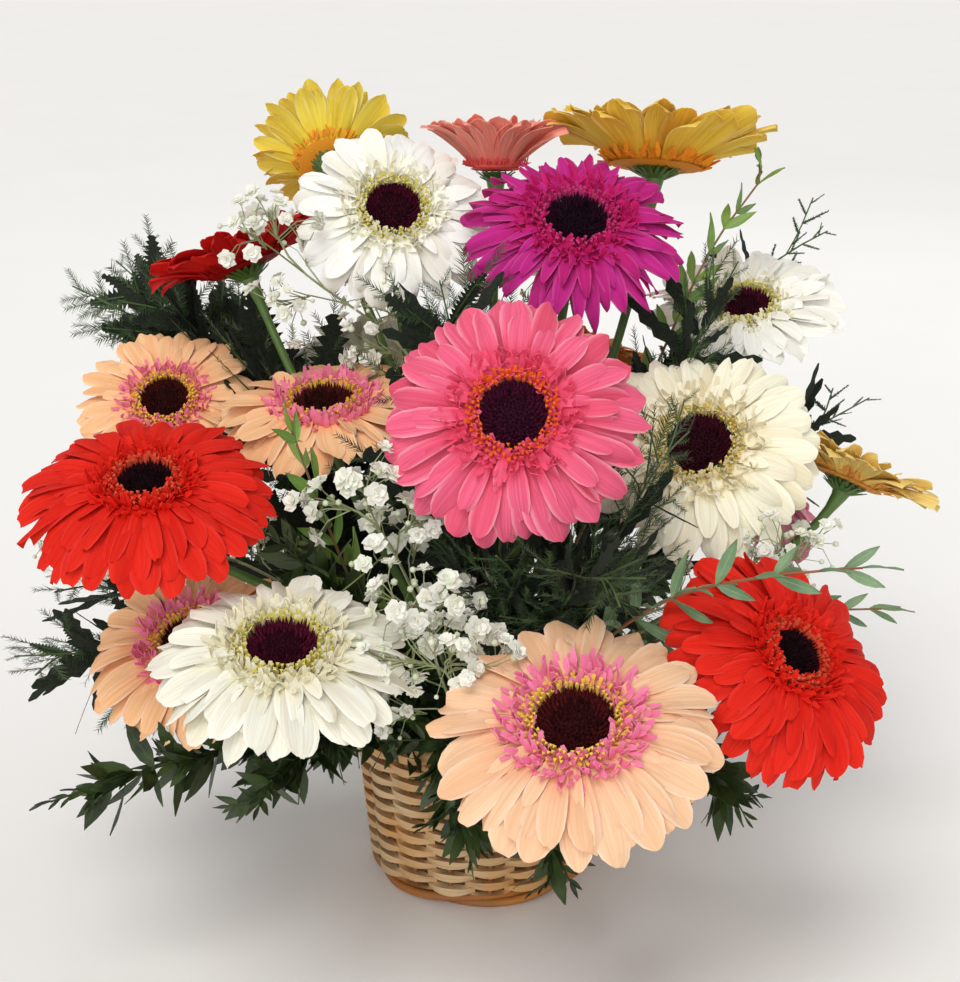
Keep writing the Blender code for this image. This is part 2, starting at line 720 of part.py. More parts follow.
def main():
    for piece in list(bpy.data.objects):
        bpy.data.objects.remove(piece)
    pieces = bpy.data.collections.new(OBJECT_NAME)
    cutters = bpy.data.collections.new("cutters")
    for collection in (pieces, cutters):
        bpy.context.scene.collection.children.link(collection)
    add_basket(pieces)
    liner_inner = add_liner(pieces)
    gerberas, sprays = plan_plants()
    add_foam(pieces, liner_inner, add_sockets(gerberas + sprays, cutters))
    for plant in gerberas:
        add_gerbera(plant, pieces)
    for plant in sprays:
        add_spray(plant, pieces)


main()
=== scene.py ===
"""The looks of a willow basket filled with gerberas, baby's breath and greenery.

Every flower and sprig grows along the line of its own solid in the frame, so nothing here
sets a place by itself. Lengths are in metres, +Z is up and -Y is the front.
"""

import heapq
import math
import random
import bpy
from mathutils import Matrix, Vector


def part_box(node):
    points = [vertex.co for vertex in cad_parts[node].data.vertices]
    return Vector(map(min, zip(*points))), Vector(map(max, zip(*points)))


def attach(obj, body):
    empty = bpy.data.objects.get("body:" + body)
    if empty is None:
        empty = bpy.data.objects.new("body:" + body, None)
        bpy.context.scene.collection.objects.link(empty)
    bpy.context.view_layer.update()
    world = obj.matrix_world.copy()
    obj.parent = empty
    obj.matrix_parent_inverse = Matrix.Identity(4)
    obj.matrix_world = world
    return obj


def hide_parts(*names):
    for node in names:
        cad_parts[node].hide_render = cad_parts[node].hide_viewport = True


bl_info = {
    "name": "Flower Basket Arrangement",
    "version": (1, 0, 0),
    "blender": (4, 5, 0),
    "location": "View3D > Sidebar > Flower Basket",
    "description": "Finishes a basket of gerberas, baby's breath and greenery around its frame",
    "category": "Object",
}

import bmesh
import bpy
from bpy.props import FloatProperty, FloatVectorProperty, IntProperty, PointerProperty
from bpy.types import Operator, Panel, PropertyGroup
from mathutils import Matrix, Vector

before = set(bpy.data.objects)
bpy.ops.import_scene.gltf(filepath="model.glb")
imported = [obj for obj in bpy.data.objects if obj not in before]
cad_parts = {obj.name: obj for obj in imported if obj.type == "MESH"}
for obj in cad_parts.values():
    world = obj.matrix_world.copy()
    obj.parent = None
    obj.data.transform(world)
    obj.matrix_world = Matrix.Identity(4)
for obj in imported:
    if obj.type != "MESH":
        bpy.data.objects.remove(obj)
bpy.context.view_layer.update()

UP = Vector((0.0, 0.0, 1.0))
FORWARD_AND_UP = Vector((0.0, -0.5, 1.0))
UV_NAME = "surface"

# The frame's solids: points closer than MERGE are one, a stem has STEM_CORNERS points to each
# ring, every stem starts near the foam's middle, and a head's eye stands EYE_DEPTH in front
# of its middle.
MERGE = 0.00001
STEM_CORNERS = 6
FOAM_MIDDLE = Vector((0.0, 0.0, 0.060))
EYE_DEPTH = 0.0025

# Edges that bend by more than this stay sharp.
SHARP_ANGLE = math.radians(50.0)

# The seeds of the weave, of what is cut once to be used many times, and of the first piece of
# each kind, from which its pieces count up.
WEAVE_SEED = 11
BLOOM_SEED = 7
PLUME_SEED = 21
LEAF_SEED = 31
GERBERA_SEED = 100
SPRAY_SEED = 300
FERN_SEED = 400
CEDAR_SEED = 500
SPRIG_SEED = 600

# The weave: the steps of a weaver from stake to stake, how far a stake strays from straight
# and how much room it has, how far the weaver sways in and out as a share of that room and
# how far it strays up and down, its height between the stakes and how much it gains where
# it passes one, and the sway below which it counts as behind and takes painted shade.
STEPS_TO_A_STAKE = 8
STAKE_WOBBLE = 0.0003
STAKE_PLAY = 0.0002
WEAVER_SWAY = 0.92
WEAVER_DRIFT = 0.0005
STRAND_PINCH = 0.86
STRAND_SWELL = 0.56
BEHIND_WAVE = -0.2

# The borders: a rod's radius, its steps round the basket, and the height of its lowest point.
BORDER_ROD = 0.0021
BORDER_STEPS = 204
CLEAR_OF_FLOOR = 0.0002

# The sides of the round parts, and the radii of a spray's stem at its foot and of its shoots.
ROD_SIDES = 8
STEM_SIDES = 10
TWIG_SIDES = 5
SHOOT_SIDES = 4
STALK_RADIUS = 0.0011
SHOOT_RADIUS = 0.0005

# The lowest that the tip of a side frond comes, and of a leaf that fills the room.
FROND_CLEARANCE = 0.006
FILLER_CLEARANCE = 0.004

# The place of each material in a flower, in the weave, in greenery and in baby's breath; the
# florets of baby's breath have the first place in theirs. The weave's last place is painted
# shade on the weaver behind the stakes, and greenery's last is painted shade on dark sheets.
PETAL, HEART, FILAMENT, DISC, STEM, BRACT, EYE = range(7)
WEAVER, STAKE, SHADE_BEHIND = range(3)
LEAF, TWIG, SHADE_SHEET = range(3)
BUD = 2

# Display colours, 0 to 255, of each kind of gerbera: the petal's base, middle and tip, and
# below them the small florets round the heart, the filaments and the disc. The deeper base is
# partly the petal's own tint and partly painted shade where the petals crowd round the heart.
PETAL_PARTS = ("base", "middle", "tip", "heart", "filament", "disc")
VARIETIES = {
    "coral": (
        (226, 34, 62), (236, 72, 104), (242, 102, 138),
        (244, 92, 128), (238, 104, 44), (66, 14, 40),
    ),
    "peach": (
        (246, 138, 160), (245, 184, 144), (249, 203, 164),
        (250, 140, 178), (240, 204, 84), (66, 16, 18),
    ),
    # apricot: the heads' own orange tint, painted lighter to lift heads that lie in the shade of
    # others
    "apricot": (
        (246, 134, 130), (250, 178, 124), (253, 198, 148),
        (250, 140, 174), (236, 190, 70), (60, 16, 14),
    ),
    "white": (
        (222, 220, 138), (238, 235, 200), (246, 245, 230),
        (240, 235, 206), (214, 202, 104), (66, 10, 32),
    ),
    # painted light: the white kind painted brighter for heads that stand in more light
    "snow": (
        (236, 238, 176), (253, 253, 232), (254, 254, 248),
        (248, 246, 226), (214, 202, 104), (62, 10, 30),
    ),
    "cream": (
        (234, 220, 144), (249, 240, 198), (253, 249, 224),
        (244, 234, 200), (214, 190, 100), (58, 12, 26),
    ),
    "red": (
        (196, 12, 8), (216, 26, 18), (228, 40, 28),
        (232, 42, 30), (222, 86, 58), (32, 6, 14),
    ),
    "magenta": (
        (190, 20, 70), (192, 26, 96), (196, 42, 140),
        (206, 36, 112), (196, 60, 120), (34, 8, 26),
    ),
    "yellow": (
        (222, 166, 24), (238, 206, 52), (244, 220, 84),
        (240, 160, 50), (226, 160, 50), (60, 26, 14),
    ),
    "salmon": (
        (244, 84, 78), (254, 134, 122), (254, 160, 144),
        (240, 90, 90), (240, 140, 70), (60, 16, 26),
    ),
    "crimson": (
        (120, 6, 10), (186, 18, 18), (206, 26, 24),
        (150, 14, 16), (120, 30, 26), (26, 6, 10),
    ),
    "gold": (
        (226, 150, 64), (240, 196, 92), (244, 214, 124),
        (226, 150, 70), (214, 150, 60), (60, 26, 14),
    ),
    "amber": (
        (236, 136, 24), (240, 176, 52), (242, 206, 76),
        (240, 150, 40), (226, 160, 50), (60, 26, 14),
    ),
    "orange": (
        (226, 84, 20), (242, 124, 36), (248, 150, 64),
        (236, 110, 40), (226, 150, 50), (50, 18, 12),
    ),
    "pink": (
        (222, 80, 120), (240, 132, 164), (246, 164, 188),
        (232, 100, 140), (230, 190, 90), (50, 14, 24),
    ),
}
# How strongly the fine lines show on the palest kinds; the rest have STREAKS.
PALE_STREAKS = {
    "white": 0.4, "snow": 0.24, "cream": 0.32, "peach": 0.35, "apricot": 0.4, "yellow": 0.45,
}
STREAKS = 0.6
# How much paler a petal's rim is; the kinds that aren't named have RIM.
DULL_RIMS = {
    "red": 0.04, "crimson": 0.04, "magenta": 0.16, "salmon": 0.3, "amber": 0.3, "gold": 0.3,
}
RIM = 0.55

# The size of the heart of a head with these rows of petals over that of the rest.
SMALL_HEARTS = {"ragged": 0.78}

# Each shape of petal: its width at the base over its greatest width, the share of its length
# where it is widest, the share where its tip starts to round, and how blunt the tip is.
PETAL_SHAPES = {
    "broad": (0.42, 0.66, 0.72, 2.0),
    "round": (0.42, 0.62, 0.70, 2.0),
    "pointed": (0.42, 0.56, 0.58, 1.65),
    "narrow": (0.44, 0.58, 0.68, 2.0),
    "spear": (0.42, 0.48, 0.50, 1.5),
}

# Rows of petals from the back of a head to its front: how many, the tip's reach as a share of
# the head's radius, the width over the length, the lift in degrees, and the petal's shape.
PETAL_ROWS = {
    "broad": (
        (22, 1.05, 0.315, -4.0, "broad"),
        (22, 0.99, 0.300, 1.0, "broad"),
        (16, 0.84, 0.280, 7.0, "round"),
        (10, 0.64, 0.250, 13.0, "pointed"),
    ),
    "plain": (
        (23, 1.02, 0.300, -3.0, "round"),
        (22, 0.95, 0.290, 2.0, "round"),
        (12, 0.72, 0.250, 8.0, "round"),
    ),
    "full": (
        (20, 1.02, 0.320, -6.0, "round"),
        (20, 0.96, 0.310, 0.0, "round"),
        (16, 0.84, 0.290, 7.0, "pointed"),
        (14, 0.64, 0.260, 15.0, "pointed"),
    ),
    "ragged": (
        (30, 1.02, 0.270, -4.0, "narrow"),
        (30, 0.95, 0.260, 1.0, "narrow"),
        (27, 0.82, 0.250, 7.0, "narrow"),
        (24, 0.62, 0.240, 13.0, "narrow"),
    ),
    "spiky": (
        (29, 1.02, 0.225, -6.0, "spear"),
        (29, 0.95, 0.220, 2.0, "spear"),
        (26, 0.80, 0.215, 10.0, "spear"),
        (24, 0.62, 0.200, 20.0, "spear"),
    ),
}

# Each head: what follows "gerbera_" in its node's name, its colours, its rows, how far the
# petals arch, how untidy they are, and the name of a material slot, which is passed on but not
# used.
HEADS = (
    ("coral_centre", "coral", "broad", 0.06, 1.0, "petals_coral"),
    ("peach_front", "peach", "plain", 0.07, 0.7, "petals_peach"),
    ("white_front", "white", "full", 0.08, 1.2, "petals_white"),
    ("red_left", "red", "ragged", 0.07, 1.0, "petals_red"),
    ("magenta_top", "magenta", "spiky", 0.05, 1.5, "petals_magenta"),
    ("white_top", "snow", "full", 0.06, 1.1, "petals_white"),
    ("cream_right", "cream", "full", 0.07, 1.1, "petals_cream"),
    ("white_right", "snow", "full", 0.06, 1.3, "petals_white"),
    ("yellow_top_right", "amber", "full", 0.05, 1.7, "petals_yellow"),
    ("yellow_top_left", "yellow", "full", 0.05, 0.9, "petals_yellow"),
    ("coral_back", "salmon", "full", 0.04, 1.0, "petals_coral"),
    ("yellow_right", "gold", "full", 0.06, 1.6, "petals_yellow"),
    ("peach_centre_left", "apricot", "plain", 0.07, 1.5, "petals_peach"),
    ("peach_left", "apricot", "plain", 0.07, 0.9, "petals_peach"),
    ("red_back_left", "crimson", "full", 0.05, 1.2, "petals_red"),
    ("red_right", "red", "ragged", 0.08, 1.0, "petals_red"),
    ("peach_low_left", "apricot", "plain", 0.07, 0.9, "petals_peach"),
    ("orange_back", "orange", "plain", 0.07, 0.9, "petals_orange"),
    ("white_back", "white", "full", 0.07, 1.0, "petals_white"),
    ("red_back", "red", "ragged", 0.07, 1.0, "petals_red"),
    ("pink_back", "pink", "broad", 0.07, 0.9, "petals_pink"),
)

# The petals that are cut for each row, to be used again and again.
PETAL_CUTS = 6

# The heart of a head: its rings of curled florets with the number in each and their width
# over the head's radius, the same for its filaments with their width in metres, and the
# seed-like florets of its disc with the turn from each to the next.
FLORET_RINGS, FLORETS, FLORET_WIDTH = 6, 42, 0.051
FILAMENT_RINGS, FILAMENTS, FILAMENT_WIDTH = 3, 46, 0.0011
DISC_SEEDS = 240
SEED_TURN = math.radians(137.5)

# Rings of bracts behind a head: how many, their reach as a share of the head's radius, their
# tilt in degrees, and where they start in front of the head's middle.
BRACT_RINGS = ((18, 0.24, 24.0, -0.0082), (18, 0.30, 30.0, -0.0072), (12, 0.20, 38.0, -0.0088))
BRACT_WIDTH = 0.0034

# Rings of petals in an open floret of baby's breath: how many, their reach, and their tilt in
# degrees. BUD_SHARE of the florets have a bud beside them.
BREATH_RINGS = ((6, 1.0, 8.0), (5, 0.78, 38.0), (3, 0.5, 62.0))
BUD_SHARE = 0.75

# Sprays of baby's breath: what follows "gypsophila_", the florets on each twig, and their size.
BREATHS = (
    ("centre", 6, 1.0),
    ("low_centre", 6, 1.0),
    ("front", 4, 0.8),
    ("top_left", 9, 0.82),
    ("left", 4, 0.7),
    ("right", 5, 0.75),
    ("top", 5, 0.7),
    ("back", 7, 0.85),
)

# Asparagus ferns: what follows "asparagus_fern_", the reach of the side fronds, the share of
# the stem where they begin, how many there are, how many fillers (dark sheets of painted
# shade) stand round the stem, and how far all of these may lean to the front, where -1 is
# freely and 0 is not at all.
FERNS = (
    ("left_back", 0.070, 0.20, 14, 70, -0.1),
    ("upper_left", 0.086, 0.08, 24, 100, -0.1),
    ("top", 0.074, 0.26, 12, 70, -0.2),
    ("centre", 0.052, 0.34, 8, 50, -1.0),
    ("centre_right", 0.046, 0.34, 8, 50, -1.0),
    ("right", 0.036, 0.34, 8, 12, -0.4),
    ("top_right", 0.046, 0.36, 9, 50, -0.1),
    ("low_left", 0.042, 0.30, 9, 50, -0.4),
    ("far_left", 0.042, 0.30, 9, 50, -0.3),
    ("front", 0.036, 0.30, 8, 40, -1.0),
    ("back", 0.066, 0.26, 9, 60, -1.0),
)
# Side fronds that reach further than this get a second dark sheet of painted shade, and the
# fern that stands before a flower has no such sheets at all. The cedars have fillers and no
# side fronds of this kind.
DENSE_FAN = 0.08
OPEN_FERN = "right"
CEDAR_FAN = (0.0, 0.5, 0, 50, -0.3)

# The share of a stem where its plumes begin, and its leaves.
PLUMES_FROM = 0.24
LEAVES_FROM = 0.28

# What follows "cedar_", "ruscus_" and "eucalyptus_", with whether a eucalyptus is fresh green.
CEDARS = ("top_right", "right")
RUSCUSES = (
    "low_left", "front_left", "over_basket", "basket_right", "right", "left",
    "back_left", "back_right",
)
EUCALYPTUSES = (("right", False), ("left", True), ("top_right", True), ("far_right", False))


def linear(*display):
    """Scene-linear values for a display colour given from 0 to 255."""
    shares = [value / 255 for value in display]
    return tuple(s / 12.92 if s <= 0.04045 else ((s + 0.055) / 1.055) ** 2.4 for s in shares)


def colour(name, *display):
    """A colour setting, given as display values from 0 to 255."""
    return FloatVectorProperty(
        name=name,
        description=f"{name}, as it looks in even light",
        subtype="COLOR",
        size=3,
        min=0.0,
        max=1.0,
        default=linear(*display),
    )


def length(name, description, default):
    """A length setting in metres."""
    return FloatProperty(
        name=name, description=description, default=default, min=0.0001, unit="LENGTH"
    )


# ---------------------------------------------------------------- settings


class FLOWERS_PG_basket(PropertyGroup):
    """The woven basket."""

    stakes: IntProperty(
        name="Stakes",
        description="Upright rods that the weavers pass in front of and behind",
        default=17,
        min=9,
    )
    pitch: length("Weaver pitch", "Height from one round of weaving to the next", 0.0036)
    strand_height: length("Strand height", "Height of a weaver's flat section", 0.0042)
    strand_thickness: length("Strand thickness", "Thickness of a weaver's flat section", 0.0017)
    stake_radius: length("Stake radius", "Radius of an upright rod", 0.0013)
    pale: colour("Pale willow", 214, 184, 141)
    dark: colour("Dark willow", 142, 104, 61)
    # painted shade: the dark of the hollows, on the weaver behind the stakes and in the stakes'
    # grain
    hollow_shade: colour("Willow in the hollows", 76, 50, 28)
    ochre: colour("Ochre willow", 204, 134, 44)
    brown: colour("Brown willow", 158, 98, 46)


class FLOWERS_PG_gerberas(PropertyGroup):
    """The shapes of the gerbera heads."""

    disc: FloatProperty(
        name="Disc",
        description="Radius of the dark disc over the head's radius",
        default=0.255,
        subtype="FACTOR",
    )
    petal_thickness: length("Petal thickness", "Thickness of a petal", 0.00026)
    stem_radius: length("Stem radius", "Radius of a flower's stem", 0.0022)
    stem: colour("Stem green", 92, 128, 58)
    bract: colour("Bract green", 70, 98, 44)


class FLOWERS_PG_breath(PropertyGroup):
    """The baby's breath."""

    floret: length("Floret radius", "Radius of an open floret", 0.0056)
    twig_radius: length("Twig radius", "Radius of a twig where it leaves the stem", 0.00055)
    white: colour("Floret white", 246, 246, 236)
    throat: colour("Floret throat", 206, 214, 150)
    twig: colour("Twig green", 116, 122, 74)
    bud: colour("Bud green", 190, 202, 160)


class FLOWERS_PG_greenery(PropertyGroup):
    """The leaves and fronds."""

    needle: length("Plume length", "Length of the longest plume of an asparagus fern", 0.036)
    fern: colour("Fern green", 40, 62, 34)
    fern_tip: colour("Fern tip green", 78, 104, 54)
    # painted shade: the dark sheets among the needles run from the shaded green to the fern mass
    # green
    shade: colour("Shaded green", 18, 27, 15)
    mass: colour("Fern mass green", 32, 45, 27)
    cedar: colour("Cedar green", 30, 52, 36)
    cedar_tip: colour("Cedar tip green", 60, 86, 56)
    spring: colour("Spring green", 92, 132, 54)
    spring_light: colour("Spring vein green", 158, 190, 92)
    ruscus: colour("Ruscus green", 24, 38, 14)
    ruscus_light: colour("Ruscus vein green", 74, 98, 40)
    eucalyptus: colour("Eucalyptus green", 84, 118, 84)
    eucalyptus_light: colour("Eucalyptus vein green", 150, 176, 130)
    red_twig: colour("Red twig", 150, 84, 50)


class FLOWERS_PG_stage(PropertyGroup):
    """The floor, the light and the camera."""

    distance: length("Camera distance", "From the camera to the point it looks at", 0.95)
    height: length("Aim height", "Height of the point that the camera looks at", 0.194)
    elevation: FloatProperty(
        name="Camera elevation",
        description="Angle of the view above level",
        default=math.radians(18.5),
        subtype="ANGLE",
    )
    lens: FloatProperty(
        name="Lens",
        description="Focal length for a sensor of 36 mm",
        default=73.32,
        subtype="DISTANCE_CAMERA",
    )
    floor: colour("Floor", 252, 251, 249)
    brightness: FloatProperty(
        name="Brightness",
        description="Scales all the lamps",
        default=1.0,
        min=0.0,
        subtype="FACTOR",
    )


def petal_settings():
    """One colour setting for each part of each kind of gerbera."""
    fields = {}
    for variety, colours in VARIETIES.items():
        for part, display in zip(PETAL_PARTS, colours):
            fields[f"{variety}_{part}"] = colour(f"{variety.title()} {part}", *display)
    members = {"__annotations__": fields, "__doc__": "The colours of the gerberas."}
    return type("FLOWERS_PG_petals", (PropertyGroup,), members)


FLOWERS_PG_petals = petal_settings()


# ---------------------------------------------------------------- node trees


FLOAT = "NodeSocketFloat"
COLOR = "NodeSocketColor"
GREY = (0.5, 0.5, 0.5, 1.0)
TONE_OUTPUTS = (("Color", COLOR, GREY), ("Height", FLOAT, 0.0), ("Roughness", FLOAT, 0.5))


class Net:
    """Adds nodes to a tree; a socket given as an input is linked, anything else is set."""

    def __init__(self, tree):
        self.tree = tree

    def add(self, kind, inputs=None, **settings):
        """A new node with its settings and its inputs."""
        made = self.tree.nodes.new(kind)
        for key, value in settings.items():
            setattr(made, key, value)
        self.fill(made.inputs, inputs or {})
        return made

    def fill(self, sockets, values):
        """Link or set the named sockets."""
        for key, value in values.items():
            if isinstance(value, bpy.types.NodeSocket):
                self.tree.links.new(value, sockets[key])
            else:
                sockets[key].default_value = value

    def math(self, operation, first, second=0.0):
        """The result of a calculation with one or two values."""
        inputs = {0: first, 1: second}
        return self.add("ShaderNodeMath", inputs, operation=operation).outputs[0]

    def mix(self, share, first, second, blend="MIX"):
        """A blend of two colours."""
        inputs = {0: share, 6: first, 7: second}
        made = self.add("ShaderNodeMix", inputs, data_type="RGBA", blend_type=blend)
        return made.outputs[2]

    def span(self, value, low, high, start=0.0, end=1.0):
        """A smooth step from start to end while a value goes from low to high."""
        inputs = {0: value, 1: low, 2: high, 3: start, 4: end}
        made = self.add("ShaderNodeMapRange", inputs, interpolation_type="SMOOTHSTEP")
        return made.outputs[0]

    def noise(self, vector, scale, detail, roughness=0.5):
        """A random pattern from 0 to 1."""
        inputs = {"Vector": vector, "Scale": scale, "Detail": detail, "Roughness": roughness}
        return self.add("ShaderNodeTexNoise", inputs).outputs["Fac"]

    def stretched(self, vector, scale):
        """Coordinates scaled by their own amount in each direction."""
        inputs = {"Vector": vector, "Scale": scale}
        return self.add("ShaderNodeMapping", inputs).outputs[0]

    def place(self):
        """The coordinates in the object."""
        return self.add("ShaderNodeTexCoord").outputs["Object"]

    def surface(self):
        """The coordinates across and along a petal or a leaf."""
        uv = self.add("ShaderNodeUVMap", uv_map=UV_NAME).outputs[0]
        return self.add("ShaderNodeSeparateXYZ", {0: uv}).outputs


def tone_group(name, colours, values):
    """A new group that gives a colour, a height and a roughness, with its ends.

    It takes the named colours, and values given by their defaults.
    """
    tree = bpy.data.node_groups.new(name, "ShaderNodeTree")
    inputs = [(title, COLOR, GREY) for title in colours]
    inputs += [(title, FLOAT, default) for title, default in values.items()]
    for way, sockets in (("INPUT", inputs), ("OUTPUT", TONE_OUTPUTS)):
        for title, kind, default in sockets:
            made = tree.interface.new_socket(title, in_out=way, socket_type=kind)
            made.default_value = default
    net = Net(tree)
    return net, net.add("NodeGroupInput").outputs, net.add("NodeGroupOutput").inputs


def petal_group():
    """A petal's colour from its base to its tip, with fine streaks along it."""
    values = {"Random": 0.5, "Streaks": 0.2, "Rim": 0.0}
    net, given, wanted = tone_group("petal_tone", ("Base", "Middle", "Tip"), values)
    across, along = net.surface()[:2]
    drift = net.math("MULTIPLY", given["Random"], 31.0)
    moved = net.add("ShaderNodeCombineXYZ", {0: net.math("ADD", across, drift), 1: along})
    fine = net.noise(net.stretched(moved.outputs[0], (24.0, 0.9, 1.0)), 1.0, 3.0)
    broad = net.noise(net.stretched(moved.outputs[0], (6.0, 0.8, 1.0)), 1.0, 1.0)
    level = net.math("ADD", net.math("MULTIPLY", fine, 0.6), net.math("MULTIPLY", broad, 0.4))
    # from the base's colour to the tip's, along a line that wanders from petal to petal; the
    # deeper base is partly the petal's own tint and partly painted shade round the heart
    blotch = net.noise(net.place(), 55.0, 2.0)
    wobble = net.math("MULTIPLY_ADD", net.math("SUBTRACT", blotch, 0.5), 0.5)
    shifted = net.math("ADD", along, wobble)
    first = net.mix(net.span(shifted, 0.10, 0.55), given["Base"], given["Middle"])
    second = net.mix(net.span(shifted, 0.45, 0.98), first, given["Tip"])
    # darker in the fine streaks, the petal's own lines, and painted shade in the two creases
    off = net.math("ABSOLUTE", net.math("SUBTRACT", across, 0.5))
    beside = net.math("ABSOLUTE", net.math("SUBTRACT", off, 0.167))
    crease_shade = net.math("MULTIPLY", net.span(beside, 0.055, 0.0), net.span(along, 0.98, 0.75))
    dark = net.mix(1.0, second, (0.74, 0.60, 0.50, 1.0), "MULTIPLY")
    lined = net.math("MAXIMUM", net.span(level, 0.56, 0.40), net.math("MULTIPLY", crease_shade, 0.7))
    streaked = net.mix(net.math("MULTIPLY", lined, given["Streaks"]), second, dark)
    # some petals lighter and some deeper than the rest
    lighter = net.mix(net.span(given["Random"], 0.35, 1.0, 0.0, 0.22), streaked, given["Tip"])
    deeper = net.mix(1.0, given["Middle"], (0.86, 0.78, 0.72, 1.0), "MULTIPLY")
    varied = net.mix(net.span(given["Random"], 0.4, 0.0, 0.0, 0.4), lighter, deeper)
    # paler along the rim
    pale = net.mix(0.35, given["Tip"], (1.0, 0.96, 0.94, 1.0))
    rim = net.math("MULTIPLY", net.span(off, 0.34, 0.5), net.span(along, 0.2, 0.6))
    edged = net.mix(net.math("MULTIPLY", rim, given["Rim"]), varied, pale)
    rough = net.span(level, 0.2, 0.8, 0.74, 0.58)
    net.fill(wanted, {"Color": edged, "Height": level, "Roughness": rough})
    return net.tree


def leaf_group():
    """A leaf's colour and relief: a pale midrib, side veins and patches."""
    values = {"Random": 0.5, "Vein": 0.5}
    net, given, wanted = tone_group("leaf_tone", ("Deep", "Light"), values)
    across, along = net.surface()[:2]
    off = net.math("ABSOLUTE", net.math("SUBTRACT", across, 0.5))
    rib = net.span(off, 0.07, 0.0)
    slant = net.math("SUBTRACT", along, net.math("MULTIPLY", off, 0.7))
    wave = net.math("SINE", net.math("MULTIPLY", slant, 58.0))
    vein = net.math("MULTIPLY", net.span(wave, 0.55, 1.0), 0.35)
    lines = net.math("MULTIPLY", net.math("MAXIMUM", rib, vein), given["Vein"])
    patch = net.noise(net.place(), 90.0, 3.0)
    base = net.mix(net.span(patch, 0.35, 0.75, 0.0, 0.45), given["Deep"], given["Light"])
    tone = net.mix(net.span(given["Random"], 0.3, 1.0, 0.0, 0.35), base, given["Light"])
    veined = net.mix(lines, tone, given["Light"])
    height = net.math("ADD", net.math("MULTIPLY", lines, -1.0), patch)
    rough = net.span(patch, 0.2, 0.8, 0.36, 0.6)
    net.fill(wanted, {"Color": veined, "Height": height, "Roughness": rough})
    return net.tree


def willow_group():
    """Peeled willow: grain along the strands, with ochre and dark stains."""
    values = {"Random": 0.5, "Stain": 0.5}
    net, given, wanted = tone_group("willow_grain", ("Pale", "Dark", "Ochre"), values)
    place = net.place()
    parts = net.add("ShaderNodeSeparateXYZ", {0: place}).outputs
    grain = net.noise(net.stretched(place, (26.0, 26.0, 900.0)), 1.0, 4.0, 0.6)
    patch = net.noise(net.stretched(place, (34.0, 34.0, 120.0)), 1.0, 2.0)
    broad = net.noise(place, 24.0, 2.0)
    leftward = net.span(parts[0], 0.015, -0.055)
    low = net.span(parts[2], 0.045, 0.006)
    stained = net.math("MULTIPLY", net.math("MAXIMUM", leftward, low), given["Stain"])
    ochre = net.math("MULTIPLY", stained, net.span(broad, 0.36, 0.6))
    first = net.mix(net.span(patch, 0.42, 0.72, 0.0, 0.55), given["Pale"], given["Dark"])
    second = net.mix(ochre, first, given["Ochre"])
    third = net.mix(net.span(grain, 0.48, 0.34, 0.0, 0.5), second, given["Dark"])
    light = net.mix(net.span(given["Random"], 0.0, 1.0, 0.0, 0.3), third, given["Pale"])
    rough = net.span(grain, 0.3, 0.7, 0.72, 0.5)
    net.fill(wanted, {"Color": light, "Height": grain, "Roughness": rough})
    return net.tree


def opaque(colour_value):
    """A colour with its fourth number."""
    return (*colour_value, 1.0)


def new_material(name):
    """A new material, the net of its nodes and the inputs of its shader."""
    made = bpy.data.materials.new(name)
    made.use_nodes = True
    return made, Net(made.node_tree), made.node_tree.nodes["Principled BSDF"].inputs


def dress(net, shader, tone, roughness, height, bump, depth):
    """Link a colour, a roughness and a relief to a shader."""
    relief = {"Height": height, "Strength": bump, "Distance": depth}
    bumped = net.add("ShaderNodeBump", relief).outputs[0]
    net.fill(shader, {"Base Color": tone, "Roughness": roughness, "Normal": bumped})


def material(name, build_group, group_name, colours, values, bump, plain=None):
    """A material with a group's colour, height and roughness on a Principled shader."""
    if name in bpy.data.materials:
        return bpy.data.materials[name]
    made, net, shader = new_material(name)
    shared = bpy.data.node_groups.get(group_name) or build_group()
    inputs = {key: opaque(value) for key, value in colours.items()}
    inputs.update(values)
    inputs["Random"] = net.add("ShaderNodeNewGeometry").outputs["Random Per Island"]
    tone = net.add("ShaderNodeGroup", inputs, node_tree=shared).outputs
    dress(net, shader, tone["Color"], tone["Roughness"], tone["Height"], bump, 0.0004)
    net.fill(shader, plain or {})
    return made


def petal_material(name, base, middle, tip, streaks, rim=0.0):
    """Soft petal skin that glows a little where light comes through it."""
    colours = {"Base": base, "Middle": middle, "Tip": tip}
    plain = {
        "Subsurface Weight": 0.12,
        "Subsurface Scale": 0.004,
        "Subsurface Radius": (1.0, 0.5, 0.4),
        "Specular IOR Level": 0.08,
    }
    values = {"Streaks": streaks, "Rim": rim}
    return material(name, petal_group, "petal_tone", colours, values, 0.35, plain)


def leaf_material(name, painted_shade, light, vein):
    """A leaf's or a twig's skin; vein says how clearly its veins show."""
    colours = {"Deep": painted_shade, "Light": light}
    return material(name, leaf_group, "leaf_tone", colours, {"Vein": vein}, 0.2)


def willow_material(name, pale, dark, ochre, stain):
    """Willow rods; stain says how much of the ochre shows."""
    colours = {"Pale": pale, "Dark": dark, "Ochre": ochre}
    return material(name, willow_group, "willow_grain", colours, {"Stain": stain}, 0.6)


def grainy_material(name, tone, light, scale, roughness, bump):
    """A plain ground with fine grain in its colour and relief."""
    if name in bpy.data.materials:
        return bpy.data.materials[name]
    made, net, shader = new_material(name)
    grain = net.noise(net.place(), scale, 4.0, 0.65)
    mixed = net.mix(net.span(grain, 0.35, 0.7), opaque(tone), opaque(light))
    rough = net.span(grain, 0.2, 0.8, roughness, roughness - 0.15)
    dress(net, shader, mixed, rough, grain, bump, 0.0006)
    return made


